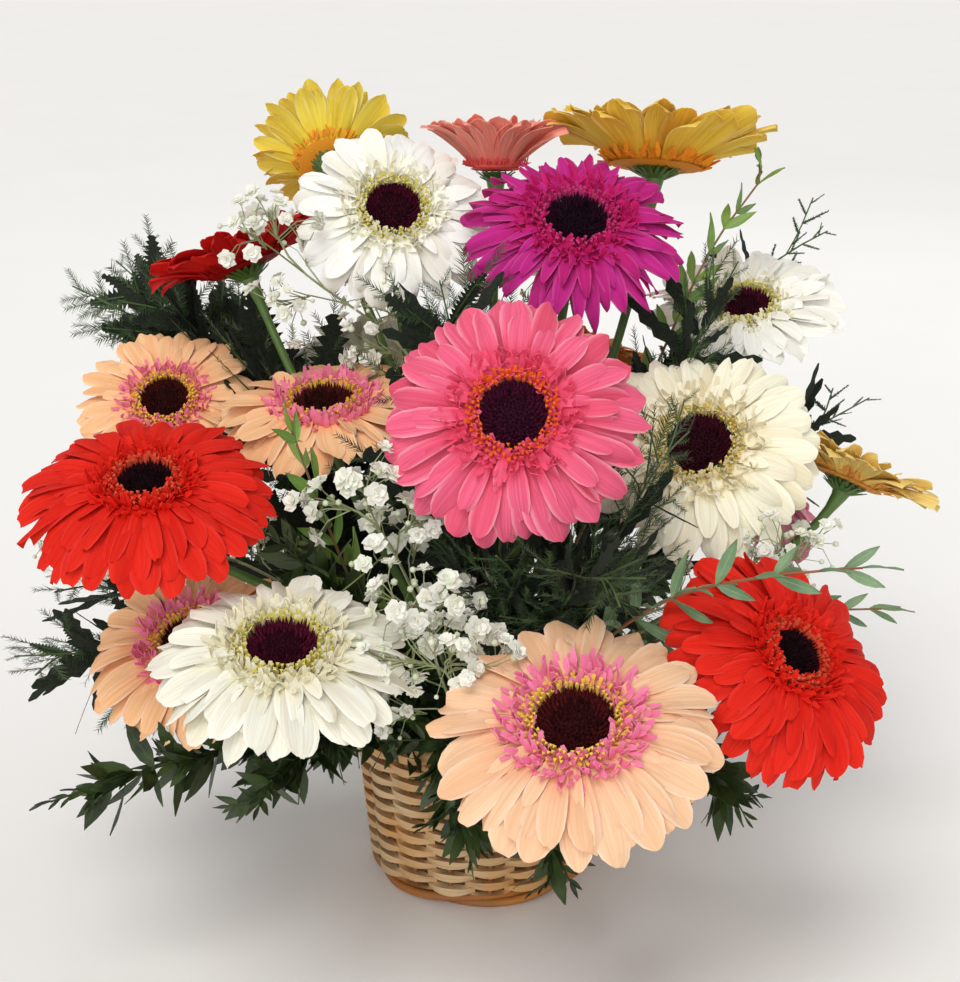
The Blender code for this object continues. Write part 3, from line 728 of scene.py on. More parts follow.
def velvet_material(name, tone):
    """The dull dark skin of a disc."""
    light = [value * 2.2 + 0.004 for value in tone]
    made = grainy_material(name, tone, light, 900.0, 1.0, 0.2)
    made.node_tree.nodes["Principled BSDF"].inputs["Specular IOR Level"].default_value = 0.06
    return made


# ---------------------------------------------------------------- lines in the frame


class Line:
    """A smooth line through points, read by the share of its length."""

    def __init__(self, points, rounds=2):
        points = [Vector(point) for point in points]
        for _ in range(rounds):
            inner = [
                before * 0.25 + point * 0.5 + after * 0.25
                for before, point, after in zip(points, points[1:], points[2:])
            ]
            points = [points[0], *inner, points[-1]]
        self.points = points
        self.marks = [0.0]
        for first, second in zip(points, points[1:]):
            self.marks.append(self.marks[-1] + (second - first).length)
        self.length = self.marks[-1]

    def at(self, share):
        """The point and the direction at a share of the length."""
        reach = min(max(share, 0.0), 1.0) * self.length
        index = 0
        while index < len(self.marks) - 2 and self.marks[index + 1] < reach:
            index += 1
        first, second = self.points[index], self.points[index + 1]
        step = self.marks[index + 1] - self.marks[index]
        part = (reach - self.marks[index]) / step if step else 0.0
        return first.lerp(second, part), (second - first).normalized()

    def spots(self, steps):
        """Points at even steps along the line."""
        return [self.at(step / steps)[0] for step in range(steps + 1)]

    def nearest(self, point):
        """The share of the length at which the line passes nearest to a point."""
        shares = [index / 60 for index in range(61)]
        return min(shares, key=lambda share: (self.at(share)[0] - point).length)


def merged(node):
    """A frame node's mesh with its doubled points joined, as a bmesh."""
    shape = bmesh.new()
    shape.from_mesh(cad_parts[node].data)
    bmesh.ops.remove_doubles(shape, verts=shape.verts, dist=MERGE)
    shape.verts.ensure_lookup_table()
    return shape


def root_vert(shape):
    """The point at the foot of a stem, which stands in the foam."""
    return min(shape.verts, key=lambda vert: (vert.co - FOAM_MIDDLE).length)


def beside(vert):
    """The points at the other ends of a point's edges."""
    return [edge.other_vert(vert) for edge in vert.link_edges]


def centre(verts):
    """The middle of some points."""
    return sum((vert.co for vert in verts), Vector()) / len(verts)


def read_gerbera(node):
    """The points of the stem, and the head's middle, facing, radius and cup.

    The solid is read ring by ring from its foot: first the stem's, then the head's. The cup
    is how far the tips of the petals stand in front of the head's middle.
    """
    shape = merged(node)
    start = root_vert(shape)
    nearest = sorted(shape.verts, key=lambda vert: (vert.co - start.co).length)
    ring = nearest[:STEM_CORNERS]
    seen = set(ring)
    rings = []
    while ring:
        rings.append(ring)
        fresh = {other for vert in ring for other in beside(vert)} - seen
        seen |= fresh
        ring = sorted(fresh, key=lambda vert: vert.index)
    stem = [centre(ring) for ring in rings if len(ring) == STEM_CORNERS]
    head = [ring for ring in rings if len(ring) > STEM_CORNERS]
    top = centre(head[-1])
    facing = (top - stem[-1]).normalized()
    middle = top - facing * EYE_DEPTH
    petals = [vert.co - middle for ring in head for vert in ring]
    flat = [(point - facing * point.dot(facing)).length for point in petals]
    radius = max(flat)
    tips = [point.dot(facing) for point, reach in zip(petals, flat) if reach > 0.97 * radius]
    shape.free()
    return stem, middle, facing, radius, sum(tips) / len(tips)


def read_spray(node):
    """A spray's main stem as a line, and its chains of points from the foam to each tip.

    The chains follow the shortest ways along the solid's edges, and the longest, which the
    main stem is made from, comes first.
    """
    shape = merged(node)
    start = root_vert(shape).index
    far = {start: 0.0}
    before = {}
    queue = [(0.0, start)]
    while queue:
        reach, index = heapq.heappop(queue)
        if reach > far[index]:
            continue
        for edge in shape.verts[index].link_edges:
            other = edge.other_vert(shape.verts[index]).index
            total = reach + edge.calc_length()
            if total < far.get(other, math.inf):
                far[other] = total
                before[other] = index
                heapq.heappush(queue, (total, other))
    tips = [
        index for index in far
        if all(far[index] > far[other.index] for other in beside(shape.verts[index]))
    ]
    tips.sort(key=lambda index: -far[index])
    chains = []
    for tip in tips:
        chain = [tip]
        while chain[-1] in before:
            chain.append(before[chain[-1]])
        chains.append([shape.verts[index].co.copy() for index in reversed(chain)])
    shape.free()
    return Line(chains[0]), chains


def side_of(main, tips):
    """The direction in which most of a spray's shoots leave its main stem."""
    total = Vector()
    for tip in tips:
        point, way = main.at(main.nearest(tip) - 0.02)
        out = tip - point
        out -= way * out.dot(way)
        total += out if out.dot(total) >= 0.0 else -out
    if total.length < 0.001:
        total = main.at(0.6)[1].cross(UP)
    return total.normalized()


def read_sprig(node):
    """A sprig's main stem, the tips of its side shoots, and the side where they leave it."""
    main, chains = read_spray(node)
    tips = [chain[-1] for chain in chains[1:]]
    return main, tips, side_of(main, tips)


# ---------------------------------------------------------------- shapes


def new_shape():
    """A bmesh with the UV map that the materials read."""
    shape = bmesh.new()
    shape.loops.layers.uv.new(UV_NAME)
    return shape


def into_mesh(name, shape):
    """The mesh of a shape, which is given up."""
    mesh = bpy.data.meshes.new(name)
    shape.to_mesh(mesh)
    shape.free()
    return mesh


def template(name, shape, slot):
    """A small mesh to be copied many times, all in one material."""
    for face in shape.faces:
        face.material_index = slot
    bmesh.ops.recalc_face_normals(shape, faces=shape.faces)
    return into_mesh(name, shape)


def cleared(patterns):
    """Remove template meshes that are no longer needed."""
    for pattern in patterns:
        bpy.data.meshes.remove(pattern)


def press(shape, pattern, matrix):
    """Add one copy of a template to a shape."""
    copy = pattern.copy()
    copy.transform(matrix)
    shape.from_mesh(copy)
    bpy.data.meshes.remove(copy)


def pointing(root, way, face, width, reach):
    """The matrix that lays a unit leaf from its root along way, its upper side towards face."""
    along = way.normalized()
    across = along.cross(face)
    if across.length < 0.0001:
        across = along.orthogonal()
    across.normalize()
    above = across.cross(along)
    turned = Matrix((across * width, along * reach, above * reach)).transposed()
    return Matrix.Translation(root) @ turned.to_4x4()


def sheet_template(name, columns, rows, outline, height, thickness, slot, crowd=1.0, bow=0.0):
    """A thin closed leaf of unit length along +Y, shaped by two functions of shares.

    outline(along) is its width and height(along, across) its rise. crowd above 1 brings the
    rows closer towards the tip, and bow rounds the tip's own edge.
    """
    shape = new_shape()
    grid = bmesh.ops.create_grid(shape, x_segments=columns, y_segments=rows, size=0.5)["verts"]
    layer = shape.loops.layers.uv[UV_NAME]
    for face in shape.faces:
        for loop in face.loops:
            loop[layer].uv = (loop.vert.co.x + 0.5, loop.vert.co.y + 0.5)
    for vert in grid:
        across = 2.0 * vert.co.x
        along = 1.0 - max(0.5 - vert.co.y, 0.0) ** crowd
        reach = along - bow * across * across * along**6
        vert.co = (0.5 * across * outline(along), reach, height(along, across))
    bmesh.ops.recalc_face_normals(shape, faces=shape.faces)
    bmesh.ops.solidify(shape, geom=shape.faces[:], thickness=thickness)
    return template(name, shape, slot)


def ring_edges(ring):
    """The edges that meet the points of a ring, each once, in the ring's order."""
    return list(dict.fromkeys(edge for vert in ring for edge in vert.link_edges))


def sweep(shape, points, radii, sides, slot):
    """A closed tube along the points."""
    ways = []
    for index in range(len(points)):
        before = points[max(index - 1, 0)]
        after = points[min(index + 1, len(points) - 1)]
        ways.append((after - before).normalized())
    side = ways[0].orthogonal().normalized()
    verts = bmesh.ops.create_circle(shape, segments=sides, radius=1.0)["verts"]
    edges = ring_edges(verts)
    ends = [edges]
    faces = []
    last = Matrix.Identity(4)
    for index, (point, way, radius) in enumerate(zip(points, ways, radii)):
        side = (side - way * side.dot(way)).normalized()
        turned = Matrix((side * radius, way.cross(side) * radius, way * radius)).transposed()
        now = Matrix.Translation(point) @ turned.to_4x4()
        if index:
            geometry = bmesh.ops.extrude_edge_only(shape, edges=edges)["geom"]
            verts = [item for item in geometry if isinstance(item, bmesh.types.BMVert)]
            kept = set(verts)
            edges = [
                item for item in geometry
                if isinstance(item, bmesh.types.BMEdge) and set(item.verts) <= kept
            ]
            faces += [item for item in geometry if isinstance(item, bmesh.types.BMFace)]
        bmesh.ops.transform(shape, matrix=now @ last.inverted(), verts=verts)
        last = now
    ends.append(edges)
    for loop in ends:
        faces += bmesh.ops.edgeloop_fill(shape, edges=loop)["faces"]
    for face in faces:
        face.material_index = slot


def new_object(name, data):
    """A new object in the scene."""
    made = bpy.data.objects.new(name, data)
    bpy.context.scene.collection.objects.link(made)
    return made


def piece(name, shape, materials, node, slot):
    """The finished object for a shape, which stands for a frame node."""
    bmesh.ops.recalc_face_normals(shape, faces=shape.faces)
    mesh = into_mesh(name, shape)
    for made in materials:
        mesh.materials.append(made)
    mesh.shade_smooth()
    mesh.set_sharp_from_angle(angle=SHARP_ANGLE)
    finished = new_object(name, mesh)
    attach(finished, "root")
    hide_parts(node)


# ---------------------------------------------------------------- basket


class Wall:
    """The wall's height and its outer radius from the frame's foot to its rim."""

    def __init__(self):
        low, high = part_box("basket_wall")
        self.low = low.z
        self.high = high.z
        self.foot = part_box("basket_foot")[1].x
        self.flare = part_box("basket_rim")[1].x - 0.0015 - self.foot

    def radius(self, height):
        """The wall's radius at a height."""
        return self.foot + self.flare * (height - self.low) / (self.high - self.low)


def moved_out(vert, offset, lift):
    """Move a point out from the basket's axis, and up."""
    level = Vector((vert.co.x, vert.co.y, 0.0)).normalized()
    vert.co += level * offset + UP * lift


def add_stakes(shape, wall, settings, inset):
    """The upright rods, which follow the wall's slope and aren't quite straight."""
    steps = 8
    for index in range(settings.stakes):
        angle = math.tau * index / settings.stakes
        level = Vector((math.cos(angle), math.sin(angle), 0.0))
        points = []
        for step in range(steps + 1):
            height = wall.low + (wall.high - wall.low) * step / steps
            wobble = STAKE_WOBBLE * math.sin(step * 1.3 + index)
            points.append(level * (wall.radius(height) - inset + wobble) + UP * height)
        sweep(shape, points, [settings.stake_radius] * len(points), ROD_SIDES, STAKE)


def add_winding(shape, wall, settings, gap, start, rounds):
    """The rounds of the long weaver, joined in one; gives its points."""
    steps = settings.stakes * STEPS_TO_A_STAKE
    loop = new_shape()
    section = Matrix.Rotation(math.pi / 2, 4, "X")
    ring = bmesh.ops.create_circle(
        loop, segments=ROD_SIDES, radius=1.0, matrix=section,
    )["verts"]
    size = Matrix.Diagonal((settings.strand_thickness / 2, 1.0, settings.strand_height / 2, 1.0))
    bmesh.ops.transform(loop, matrix=size, verts=ring)
    bmesh.ops.translate(loop, vec=(wall.radius(start) - gap, 0.0, start), verts=ring)
    bmesh.ops.spin(
        loop, geom=ring + loop.edges[:], cent=(0.0, 0.0, 0.0), axis=UP,
        dvec=(0.0, 0.0, settings.pitch / steps), angle=math.tau, steps=steps,
    )
    winding = template("winding", loop, WEAVER)
    before = len(shape.verts)
    for index in range(rounds):
        press(shape, winding, Matrix.Translation((0.0, 0.0, settings.pitch * index)))
    cleared([winding])
    bmesh.ops.remove_doubles(shape, verts=shape.verts[before:], dist=MERGE)
    return shape.verts[before:]


def wind(weaver, wall, settings, gap, start, wander):
    """Bend the weaver in and out of the stakes; gives its points that are behind them."""
    behind = set()
    for vert in weaver:
        around = math.atan2(vert.co.y, vert.co.x) % math.tau
        turns = round((vert.co.z - start) / settings.pitch - around / math.tau)
        travel = around + math.tau * turns
        passing = math.cos(travel * settings.stakes / 2)
        wave = math.copysign(abs(passing) ** 0.7, passing)
        place = travel / math.tau * settings.stakes
        index = max(0, min(int(place), len(wander) - 2))
        part = place - int(place)
        drift = wander[index] * (1.0 - part) + wander[index + 1] * part
        flare = wall.radius(vert.co.z) - wall.radius(start)
        middle = start + travel / math.tau * settings.pitch
        swell = STRAND_PINCH + STRAND_SWELL * abs(passing)
        squeeze = (vert.co.z - middle) * (swell - 1.0)
        moved_out(vert, wave * gap * WEAVER_SWAY + flare, squeeze + drift * WEAVER_DRIFT)
        if wave < BEHIND_WAVE:
            behind.add(vert)
    return behind


def add_weave(settings):
    """Stakes with one long weaver wound in and out of them up to the rim."""
    wall = Wall()
    rng = random.Random(WEAVE_SEED)
    shape = new_shape()
    gap = settings.strand_thickness + settings.stake_radius
    add_stakes(shape, wall, settings, gap + STAKE_PLAY)
    rounds = math.ceil((wall.high - wall.low) / settings.pitch)
    start = (wall.low + wall.high - rounds * settings.pitch) / 2
    weaver = add_winding(shape, wall, settings, gap, start, rounds)
    wander = [rng.uniform(-1.0, 1.0) for _ in range(rounds * settings.stakes + 3)]
    behind = wind(weaver, wall, settings, gap, start, wander)
    loose = [edge for edge in shape.edges if edge.is_boundary]
    bmesh.ops.holes_fill(shape, edges=loose)
    # the weaver's faces behind the stakes take the painted shade of the hollows
    for face in {face for vert in behind for face in vert.link_faces}:
        if behind.issuperset(face.verts):
            face.material_index = SHADE_BEHIND
    pale = willow_material("willow_weave", settings.pale, settings.dark, settings.ochre, 0.85)
    # the stakes and the weaver behind them are painted dark: painted shade of the hollows
    shade = willow_material("willow_stakes_painted_shade", settings.dark, settings.hollow_shade, settings.brown, 0.3)
    painted_shade = willow_material("willow_behind_painted_shade", settings.hollow_shade, settings.hollow_shade, settings.dark, 0.3)
    piece("basket_weave", shape, (pale, shade, painted_shade), "basket_wall", "willow")


def add_border(name, node, strands, twist, slot, tone):
    """A border of strands laid round the basket, twisted over each other."""
    low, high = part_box(node)
    shape = new_shape()
    for index in range(strands):
        before = set(shape.verts)
        turn = Matrix.Rotation(math.pi / 2, 4, "X")
        ring = bmesh.ops.create_circle(
            shape, segments=ROD_SIDES, radius=BORDER_ROD, matrix=turn,
        )["verts"]
        middle = (high.x - BORDER_ROD * 2.0, 0.0, (low.z + high.z) / 2)
        bmesh.ops.translate(shape, vec=middle, verts=ring)
        bmesh.ops.spin(
            shape, geom=ring + ring_edges(ring), cent=(0.0, 0.0, 0.0), axis=UP,
            angle=math.tau, steps=BORDER_STEPS, use_merge=True,
        )
        phase = math.tau * index / strands
        for vert in shape.verts:
            if vert in before:
                continue
            around = math.atan2(vert.co.y, vert.co.x) * twist + phase
            out = math.cos(around) * BORDER_ROD * 0.95
            moved_out(vert, out, math.sin(around) * BORDER_ROD * 0.8)
    bmesh.ops.remove_doubles(shape, verts=shape.verts, dist=MERGE)
    for vert in shape.verts:
        vert.co.z = max(vert.co.z, CLEAR_OF_FLOOR)
    piece(name, shape, (tone,), node, slot)


def dress_solid(node, made):
    """Give a solid of the frame its material."""
    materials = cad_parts[node].data.materials
    materials.clear()
    materials.append(made)


class FLOWERS_OT_basket(Operator):
    """Weave the basket's wall and lay its foot and rim borders"""

    bl_idname = "flowers.basket"
    bl_label = "Basket"

    def execute(self, context):
        settings = context.scene.flower_basket
        add_weave(settings)
        brown = willow_material("willow_foot", settings.brown, settings.dark, settings.ochre, 0.6)
        pale = willow_material("willow_rim", settings.pale, settings.dark, settings.ochre, 0.5)
        add_border("basket_foot_border", "basket_foot", 2, 3, "brown_willow", brown)
        add_border("basket_rim_border", "basket_rim", 3, 17, "willow", pale)
        dress_solid("basket_floor", pale)
        return {"FINISHED"}


class FLOWERS_OT_foam(Operator):
    """Finish the wet foam and the film that lines the basket"""

    bl_idname = "flowers.foam"
    bl_label = "Foam and liner"

    def execute(self, context):
        wet, grain = linear(26, 56, 26), linear(44, 84, 42)
        dress_solid("floral_foam", grainy_material("foam_grain", wet, grain, 420.0, 0.95, 0.8))
        film, sheen = linear(30, 34, 30), linear(48, 54, 48)
        dress_solid("basket_liner", grainy_material("film_grain", film, sheen, 60.0, 0.4, 0.2))
        return {"FINISHED"}


# ---------------------------------------------------------------- gerberas


def smooth_step(value, low, high):
    """From 0 to 1 and level at both ends, while a value goes from low to high."""
    share = min(max((value - low) / (high - low), 0.0), 1.0)
    return share * share * (3.0 - 2.0 * share)


def petal_template(kind, rng, arch, thickness):
    """One petal of unit length and width, with creases and its own curl."""
    waist, widest, shoulder, blunt = PETAL_SHAPES[kind]
    notch = rng.uniform(-0.02, 0.045)
    curl = rng.uniform(-0.15, 0.08)
    twist = rng.uniform(-0.09, 0.09)
    swing = rng.uniform(-0.20, 0.20)
    channel = rng.uniform(-0.03, 0.07)
    groove = rng.uniform(0.012, 0.022)

    def outline(along):
        grown = waist + (1.0 - waist) * smooth_step(along, -0.05, widest)
        if along <= shoulder:
            return grown
        past = 0.93 * (along - shoulder) / (1.0 - shoulder)
        return grown * (1.0 - past**blunt) ** (1.0 / blunt)

    def height(along, across):
        rise = arch * 4.0 * along * (1.0 - along) * 0.5 + curl * along**3 - 0.5 * arch * along**4
        folds = groove * math.cos(1.5 * math.pi * across) ** 2 * smooth_step(along, 0.0, 0.3)
        folds *= 1.0 - 0.6 * smooth_step(along, 0.85, 1.0)
        cup = across * across * (0.05 * (1.0 - along) - channel * along)
        return rise + folds + cup + twist * across * along

    columns, rows = (6, 6) if kind in ("broad", "round") else (4, 6)
    mesh = sheet_template("petal", columns, rows, outline, height, thickness, PETAL, 1.5, 0.028)
    for vert in mesh.vertices:
        along = vert.co.y
        vert.co.x += swing * along * along * 0.5
        vert.co.y -= notch * max(1.0 - abs(vert.co.x) * 7.0, 0.0) * smooth_step(along, 0.9, 1.0)
    return mesh


def floret_template(curl):
    """A small curled ray floret of unit length and width, split at its tip."""

    def outline(along):
        return 0.55 + 0.45 * math.sin(math.pi * along) - 0.05 * along**3

    def height(along, across):
        return curl * along * along - 0.10 * across * across

    return sheet_template("floret", 1, 2, outline, height, 0.05, HEART)


def rod_template(slot, tip, sides):
    """A closed rod of unit length along +Y that swells, narrows or runs out to its tip."""
    shape = new_shape()
    turn = Matrix.Translation((0.0, 0.5, 0.0)) @ Matrix.Rotation(-math.pi / 2, 4, "X")
    bmesh.ops.create_cone(
        shape, cap_ends=True, segments=sides, radius1=0.5, radius2=0.5 * tip, depth=1.0,
        matrix=turn,
    )
    return template("rod", shape, slot)


def bract_template():
    """A narrow green bract of the cup behind a head."""

    def outline(along):
        return 1.0 - 0.85 * along**1.6

    def height(along, across):
        return 0.06 * along - 0.05 * across * across

    return sheet_template("bract", 1, 2, outline, height, 0.03, BRACT)


def dome_template(slot):
    """A flat dome of unit radius."""
    shape = new_shape()
    bmesh.ops.create_uvsphere(shape, u_segments=18, v_segments=6, radius=1.0)
    return template("dome", shape, slot)


def set_round(around, out, rise, tilt, roll, size):
    """The matrix of a part round a head's middle, out from it, tilted up and rolled."""
    return (
        Matrix.Rotation(around, 4, "Z")
        @ Matrix.Translation((0.0, out, rise))
        @ Matrix.Rotation(tilt, 4, "X")
        @ Matrix.Rotation(roll, 4, "Y")
        @ Matrix.Diagonal((*size, 1.0))
    )


def add_petals(shape, rng, turned, radius, cup, kind, thickness):
    """All the rows of petals of one head; kind is its rows, its arch and how untidy it is."""
    rows, arch, mess = kind
    for number, (count, reach, width, lift, outline) in enumerate(PETAL_ROWS[rows]):
        root = radius * (0.33 - 0.02 * number)
        outer = reach * radius
        base_height = -0.0018 + 0.0008 * number
        tip_height = cup * reach**1.5
        slope = math.atan2(tip_height - base_height, outer - root)
        span = (outer - root) / math.cos(slope)
        thin = thickness / span
        patterns = [petal_template(outline, rng, arch + 0.03, thin) for _ in range(PETAL_CUTS)]
        phase = rng.uniform(0.0, math.tau)
        for index in range(count):
            stray = rng.gauss(0.0, 1.0) * mess
            around = phase + math.tau * (index + rng.uniform(-0.22, 0.22) * mess) / count
            scale = 1.0 - abs(rng.gauss(0.0, 0.05)) * mess
            raised = slope + math.radians(lift + 2.2 * stray)
            lean = math.radians(rng.uniform(4.0, 18.0) * rng.choice((-1.0, 1.0, 1.0)))
            broad = width * 1.16 * span * rng.uniform(0.80, 1.12)
            size = (broad, span * scale, span * scale)
            place = set_round(around, root, base_height, raised, lean, size)
            press(shape, rng.choice(patterns), turned @ place)
        cleared(patterns)


def add_ring(shape, rng, turned, count, phase, root, reach, tilt, roll, width, patterns):
    """A ring of small parts round the middle of a head; reach, tilt and root are ranges.

    Parts that may roll are as thick as they are long, and the others are round.
    """
    for index in range(count):
        around = math.tau * (index + phase + rng.uniform(-0.35, 0.35)) / count
        span = rng.uniform(*reach)
        place = set_round(
            around, rng.uniform(*root), 0.0005, math.radians(rng.uniform(*tilt)),
            rng.uniform(-roll, roll), (width, span, span if roll else width),
        )
        press(shape, rng.choice(patterns), turned @ place)


def add_seeds(shape, rng, turned, disc, light, dark):
    """The disc's seed-like florets, in a sunflower's spiral, dark in the middle."""
    for index in range(DISC_SEEDS):
        share = math.sqrt((index + 0.5) / DISC_SEEDS)
        out = disc * share * rng.uniform(0.97, 1.03)
        dome = 0.0016 * math.sqrt(max(1.0 - 0.8 * share * share, 0.0))
        tilt = math.radians(90.0 - 24.0 * share + rng.uniform(-12.0, 12.0))
        wide = disc * (0.085 + 0.04 * share)
        rise = 1.2 + 1.0 * smooth_step(share, 0.45, 0.75)
        size = (wide, wide * rise * rng.uniform(0.7, 1.3), wide)
        place = set_round(index * SEED_TURN, out, dome, tilt, 0.0, size)
        press(shape, light if share > rng.uniform(0.5, 0.72) else dark, turned @ place)


def add_heart(shape, rng, turned, radius, inner, disc, patterns):
    """The curled florets, filaments and seeds in the middle of a head.

    inner is the radius that the rings of florets are measured by.
    """
    florets, filament, light, dark, base, dome = patterns
    for ring in range(FLORET_RINGS):
        root = inner * (0.275 + 0.034 * ring)
        reach = radius * (0.082 + 0.010 * ring)
        tilt = 72.0 - 8.0 * ring
        add_ring(
            shape, rng, turned, FLORETS, 0.5 * ring, (root * 0.95, root * 1.05),
            (reach * 0.7, reach * 1.15), (tilt - 14.0, tilt + 14.0), 1.0,
            radius * FLORET_WIDTH, florets,
        )
    for ring in range(FILAMENT_RINGS):
        root = disc * (1.02 + 0.09 * ring)
        tilt = 76.0 - 16.0 * ring
        add_ring(
            shape, rng, turned, FILAMENTS, 0.5 * ring, (root * 0.97, root * 1.03),
            (radius * 0.060, radius * 0.095), (tilt - 12.0, tilt + 12.0), 0.0,
            FILAMENT_WIDTH, (filament,),
        )
    wide = inner * 0.42
    sunk = Matrix.Translation((0.0, 0.0, -0.0012))
    press(shape, base, turned @ sunk @ Matrix.Diagonal((wide, wide, 0.0012, 1.0)))
    press(shape, dome, turned @ Matrix.Diagonal((disc * 1.08, disc * 1.08, 0.0018, 1.0)))
    add_seeds(shape, rng, turned, disc, light, dark)


def add_cup(shape, rng, turned, radius, stem_radius, pattern):
    """The green bracts behind a head, from the stem out under the petals."""
    for ring, (count, reach, tilt, depth) in enumerate(BRACT_RINGS):
        for index in range(count):
            around = math.tau * (index + 0.5 * ring + rng.uniform(-0.15, 0.15)) / count
            span = reach * radius * rng.uniform(0.9, 1.1)
            slope = math.radians(tilt + rng.uniform(-4.0, 4.0))
            size = (BRACT_WIDTH, span, span)
            place = set_round(around, stem_radius * 0.9, depth, slope, 0.0, size)
            press(shape, pattern, turned @ place)


def add_flower_stem(shape, stem, middle, facing, radius):
    """The stem from the foam to a head, which swells at its end."""
    line = Line([*stem, middle - facing * 0.008, middle - facing * 0.003], 1)
    radii = [radius] * 24 + [radius * 1.15, radius * 1.7, radius * 2.6]
    sweep(shape, line.spots(len(radii) - 1), radii, STEM_SIDES, STEM)


def gerbera_materials(variety, tones):
    """The materials of the petals, heart, filaments, disc and eye of a kind of gerbera."""
    colours = [getattr(tones, f"{variety}_{part}") for part in PETAL_PARTS]
    base, middle, tip, heart, filament, disc = colours
    streaks = PALE_STREAKS.get(variety, STREAKS)
    rim = DULL_RIMS.get(variety, RIM)
    return (
        petal_material(f"gerbera_{variety}", base, middle, tip, streaks, rim),
        petal_material(f"heart_{variety}", filament, heart, heart, 0.2),
        petal_material(f"filament_{variety}", filament, filament, filament, 0.3),
        velvet_material(f"disc_{variety}", disc),
        velvet_material(f"eye_{variety}", [value * 0.3 for value in disc]),
    )


class FLOWERS_OT_gerberas(Operator):
    """Build every gerbera head with its petals, heart, bracts and stem"""

    bl_idname = "flowers.gerberas"
    bl_label = "Gerberas"

    def execute(self, context):
        settings = context.scene.flower_gerberas
        stem_tone = leaf_material("gerbera_stem", settings.stem, settings.bract, 0.0)
        bract_tone = leaf_material("gerbera_bract", settings.bract, settings.stem, 0.5)
        florets = [floret_template(curl) for curl in (-0.2, 0.3, 0.7)]
        singles = [
            rod_template(FILAMENT, 1.7, 3), rod_template(DISC, 0.0, 4), rod_template(EYE, 0.0, 4),
            dome_template(HEART), dome_template(EYE),
        ]
        bract = bract_template()
        for seed, (name, variety, rows, arch, mess, slot) in enumerate(HEADS, GERBERA_SEED):
            node = "gerbera_" + name
            rng = random.Random(seed)
            stem, middle, facing, radius, cup = read_gerbera(node)
            turn = UP.rotation_difference(facing).to_matrix().to_4x4()
            turned = Matrix.Translation(middle) @ turn
            inner = radius * SMALL_HEARTS.get(rows, 1.0)
            shape = new_shape()
            add_flower_stem(shape, stem, middle, facing, settings.stem_radius)
            kind = (rows, arch, mess)
            add_petals(shape, rng, turned, radius, cup, kind, settings.petal_thickness)
            disc = inner * settings.disc
            add_heart(shape, rng, turned, radius, inner, disc, (florets, *singles))
            add_cup(shape, rng, turned, radius, settings.stem_radius, bract)
            *tones, eye = gerbera_materials(variety, context.scene.flower_petals)
            materials = (*tones, stem_tone, bract_tone, eye)
            piece(node + "_flower", shape, materials, node, slot)
        cleared([*florets, *singles, bract])
        return {"FINISHED"}


# ---------------------------------------------------------------- baby's breath


def breath_template(rng):
    """An open floret of unit radius facing +Y, ruffled petals round a small throat."""
    shape = new_shape()
    for ring, (count, reach, tilt) in enumerate(BREATH_RINGS):
        for index in range(count):
            around = math.tau * (index + 0.5 * ring + rng.uniform(-0.25, 0.25)) / count
            petal = bmesh.ops.create_circle(shape, cap_ends=True, segments=6, radius=0.5)["verts"]
            for vert in petal:
                vert.co.z += 0.16 * math.sin(vert.co.x * 9.0 + index) - 0.2 * vert.co.y**2
            place = (
                Matrix.Rotation(-math.pi / 2, 4, "X")
                @ Matrix.Rotation(around, 4, "Z")
                @ Matrix.Rotation(math.radians(tilt + rng.uniform(-14.0, 14.0)), 4, "X")
                @ Matrix.Translation((0.0, 0.52 * reach, 0.0))
                @ Matrix.Diagonal((0.85 * reach, 0.95 * reach, 0.95 * reach, 1.0))
            )
            bmesh.ops.transform(shape, matrix=place, verts=petal)
    bmesh.ops.recalc_face_normals(shape, faces=shape.faces)
    bmesh.ops.solidify(shape, geom=shape.faces[:], thickness=0.05)
    throat = bmesh.ops.create_cone(
        shape, cap_ends=True, segments=5, radius1=0.10, radius2=0.30, depth=0.6,
        matrix=Matrix.Translation((0.0, -0.2, 0.0)) @ Matrix.Rotation(-math.pi / 2, 4, "X"),
    )["verts"]
    for face in {face for vert in throat for face in vert.link_faces}:
        face.material_index = BUD
    bmesh.ops.recalc_face_normals(shape, faces=shape.faces)
    return into_mesh("breath", shape)


def bud_template():
    """A closed round bud of unit radius."""
    shape = new_shape()
    bmesh.ops.create_icosphere(shape, subdivisions=1, radius=1.0)
    return template("bud", shape, BUD)


def scattered(rng, way, low, high):
    """A direction at a random angle, between two in degrees, from another."""
    angle = math.radians(rng.uniform(low, high))
    side = way.orthogonal().normalized()
    side = Matrix.Rotation(rng.uniform(0.0, math.tau), 3, way) @ side
    return (way * math.cos(angle) + side * math.sin(angle)).normalized()


def add_twig(shape, start, way, end, radius):
    """A thin bent twig between two points that leaves along way; gives its end's direction."""
    reach = (end - start).length
    bend = start + way * reach * 0.5
    points = [start, start.lerp(bend, 0.6).lerp(bend.lerp(end, 0.6), 0.6), end]
    sweep(shape, points, [radius, radius * 0.8, radius * 0.6], SHOOT_SIDES, TWIG)
    return (end - points[1]).normalized()


def add_stem(shape, main, thin, steps):
    """The main stem of a spray or a sprig, which gets thinner to its tip."""
    radii = [STALK_RADIUS + (thin - STALK_RADIUS) * step / steps for step in range(steps + 1)]
    sweep(shape, main.spots(steps), radii, TWIG_SIDES, TWIG)


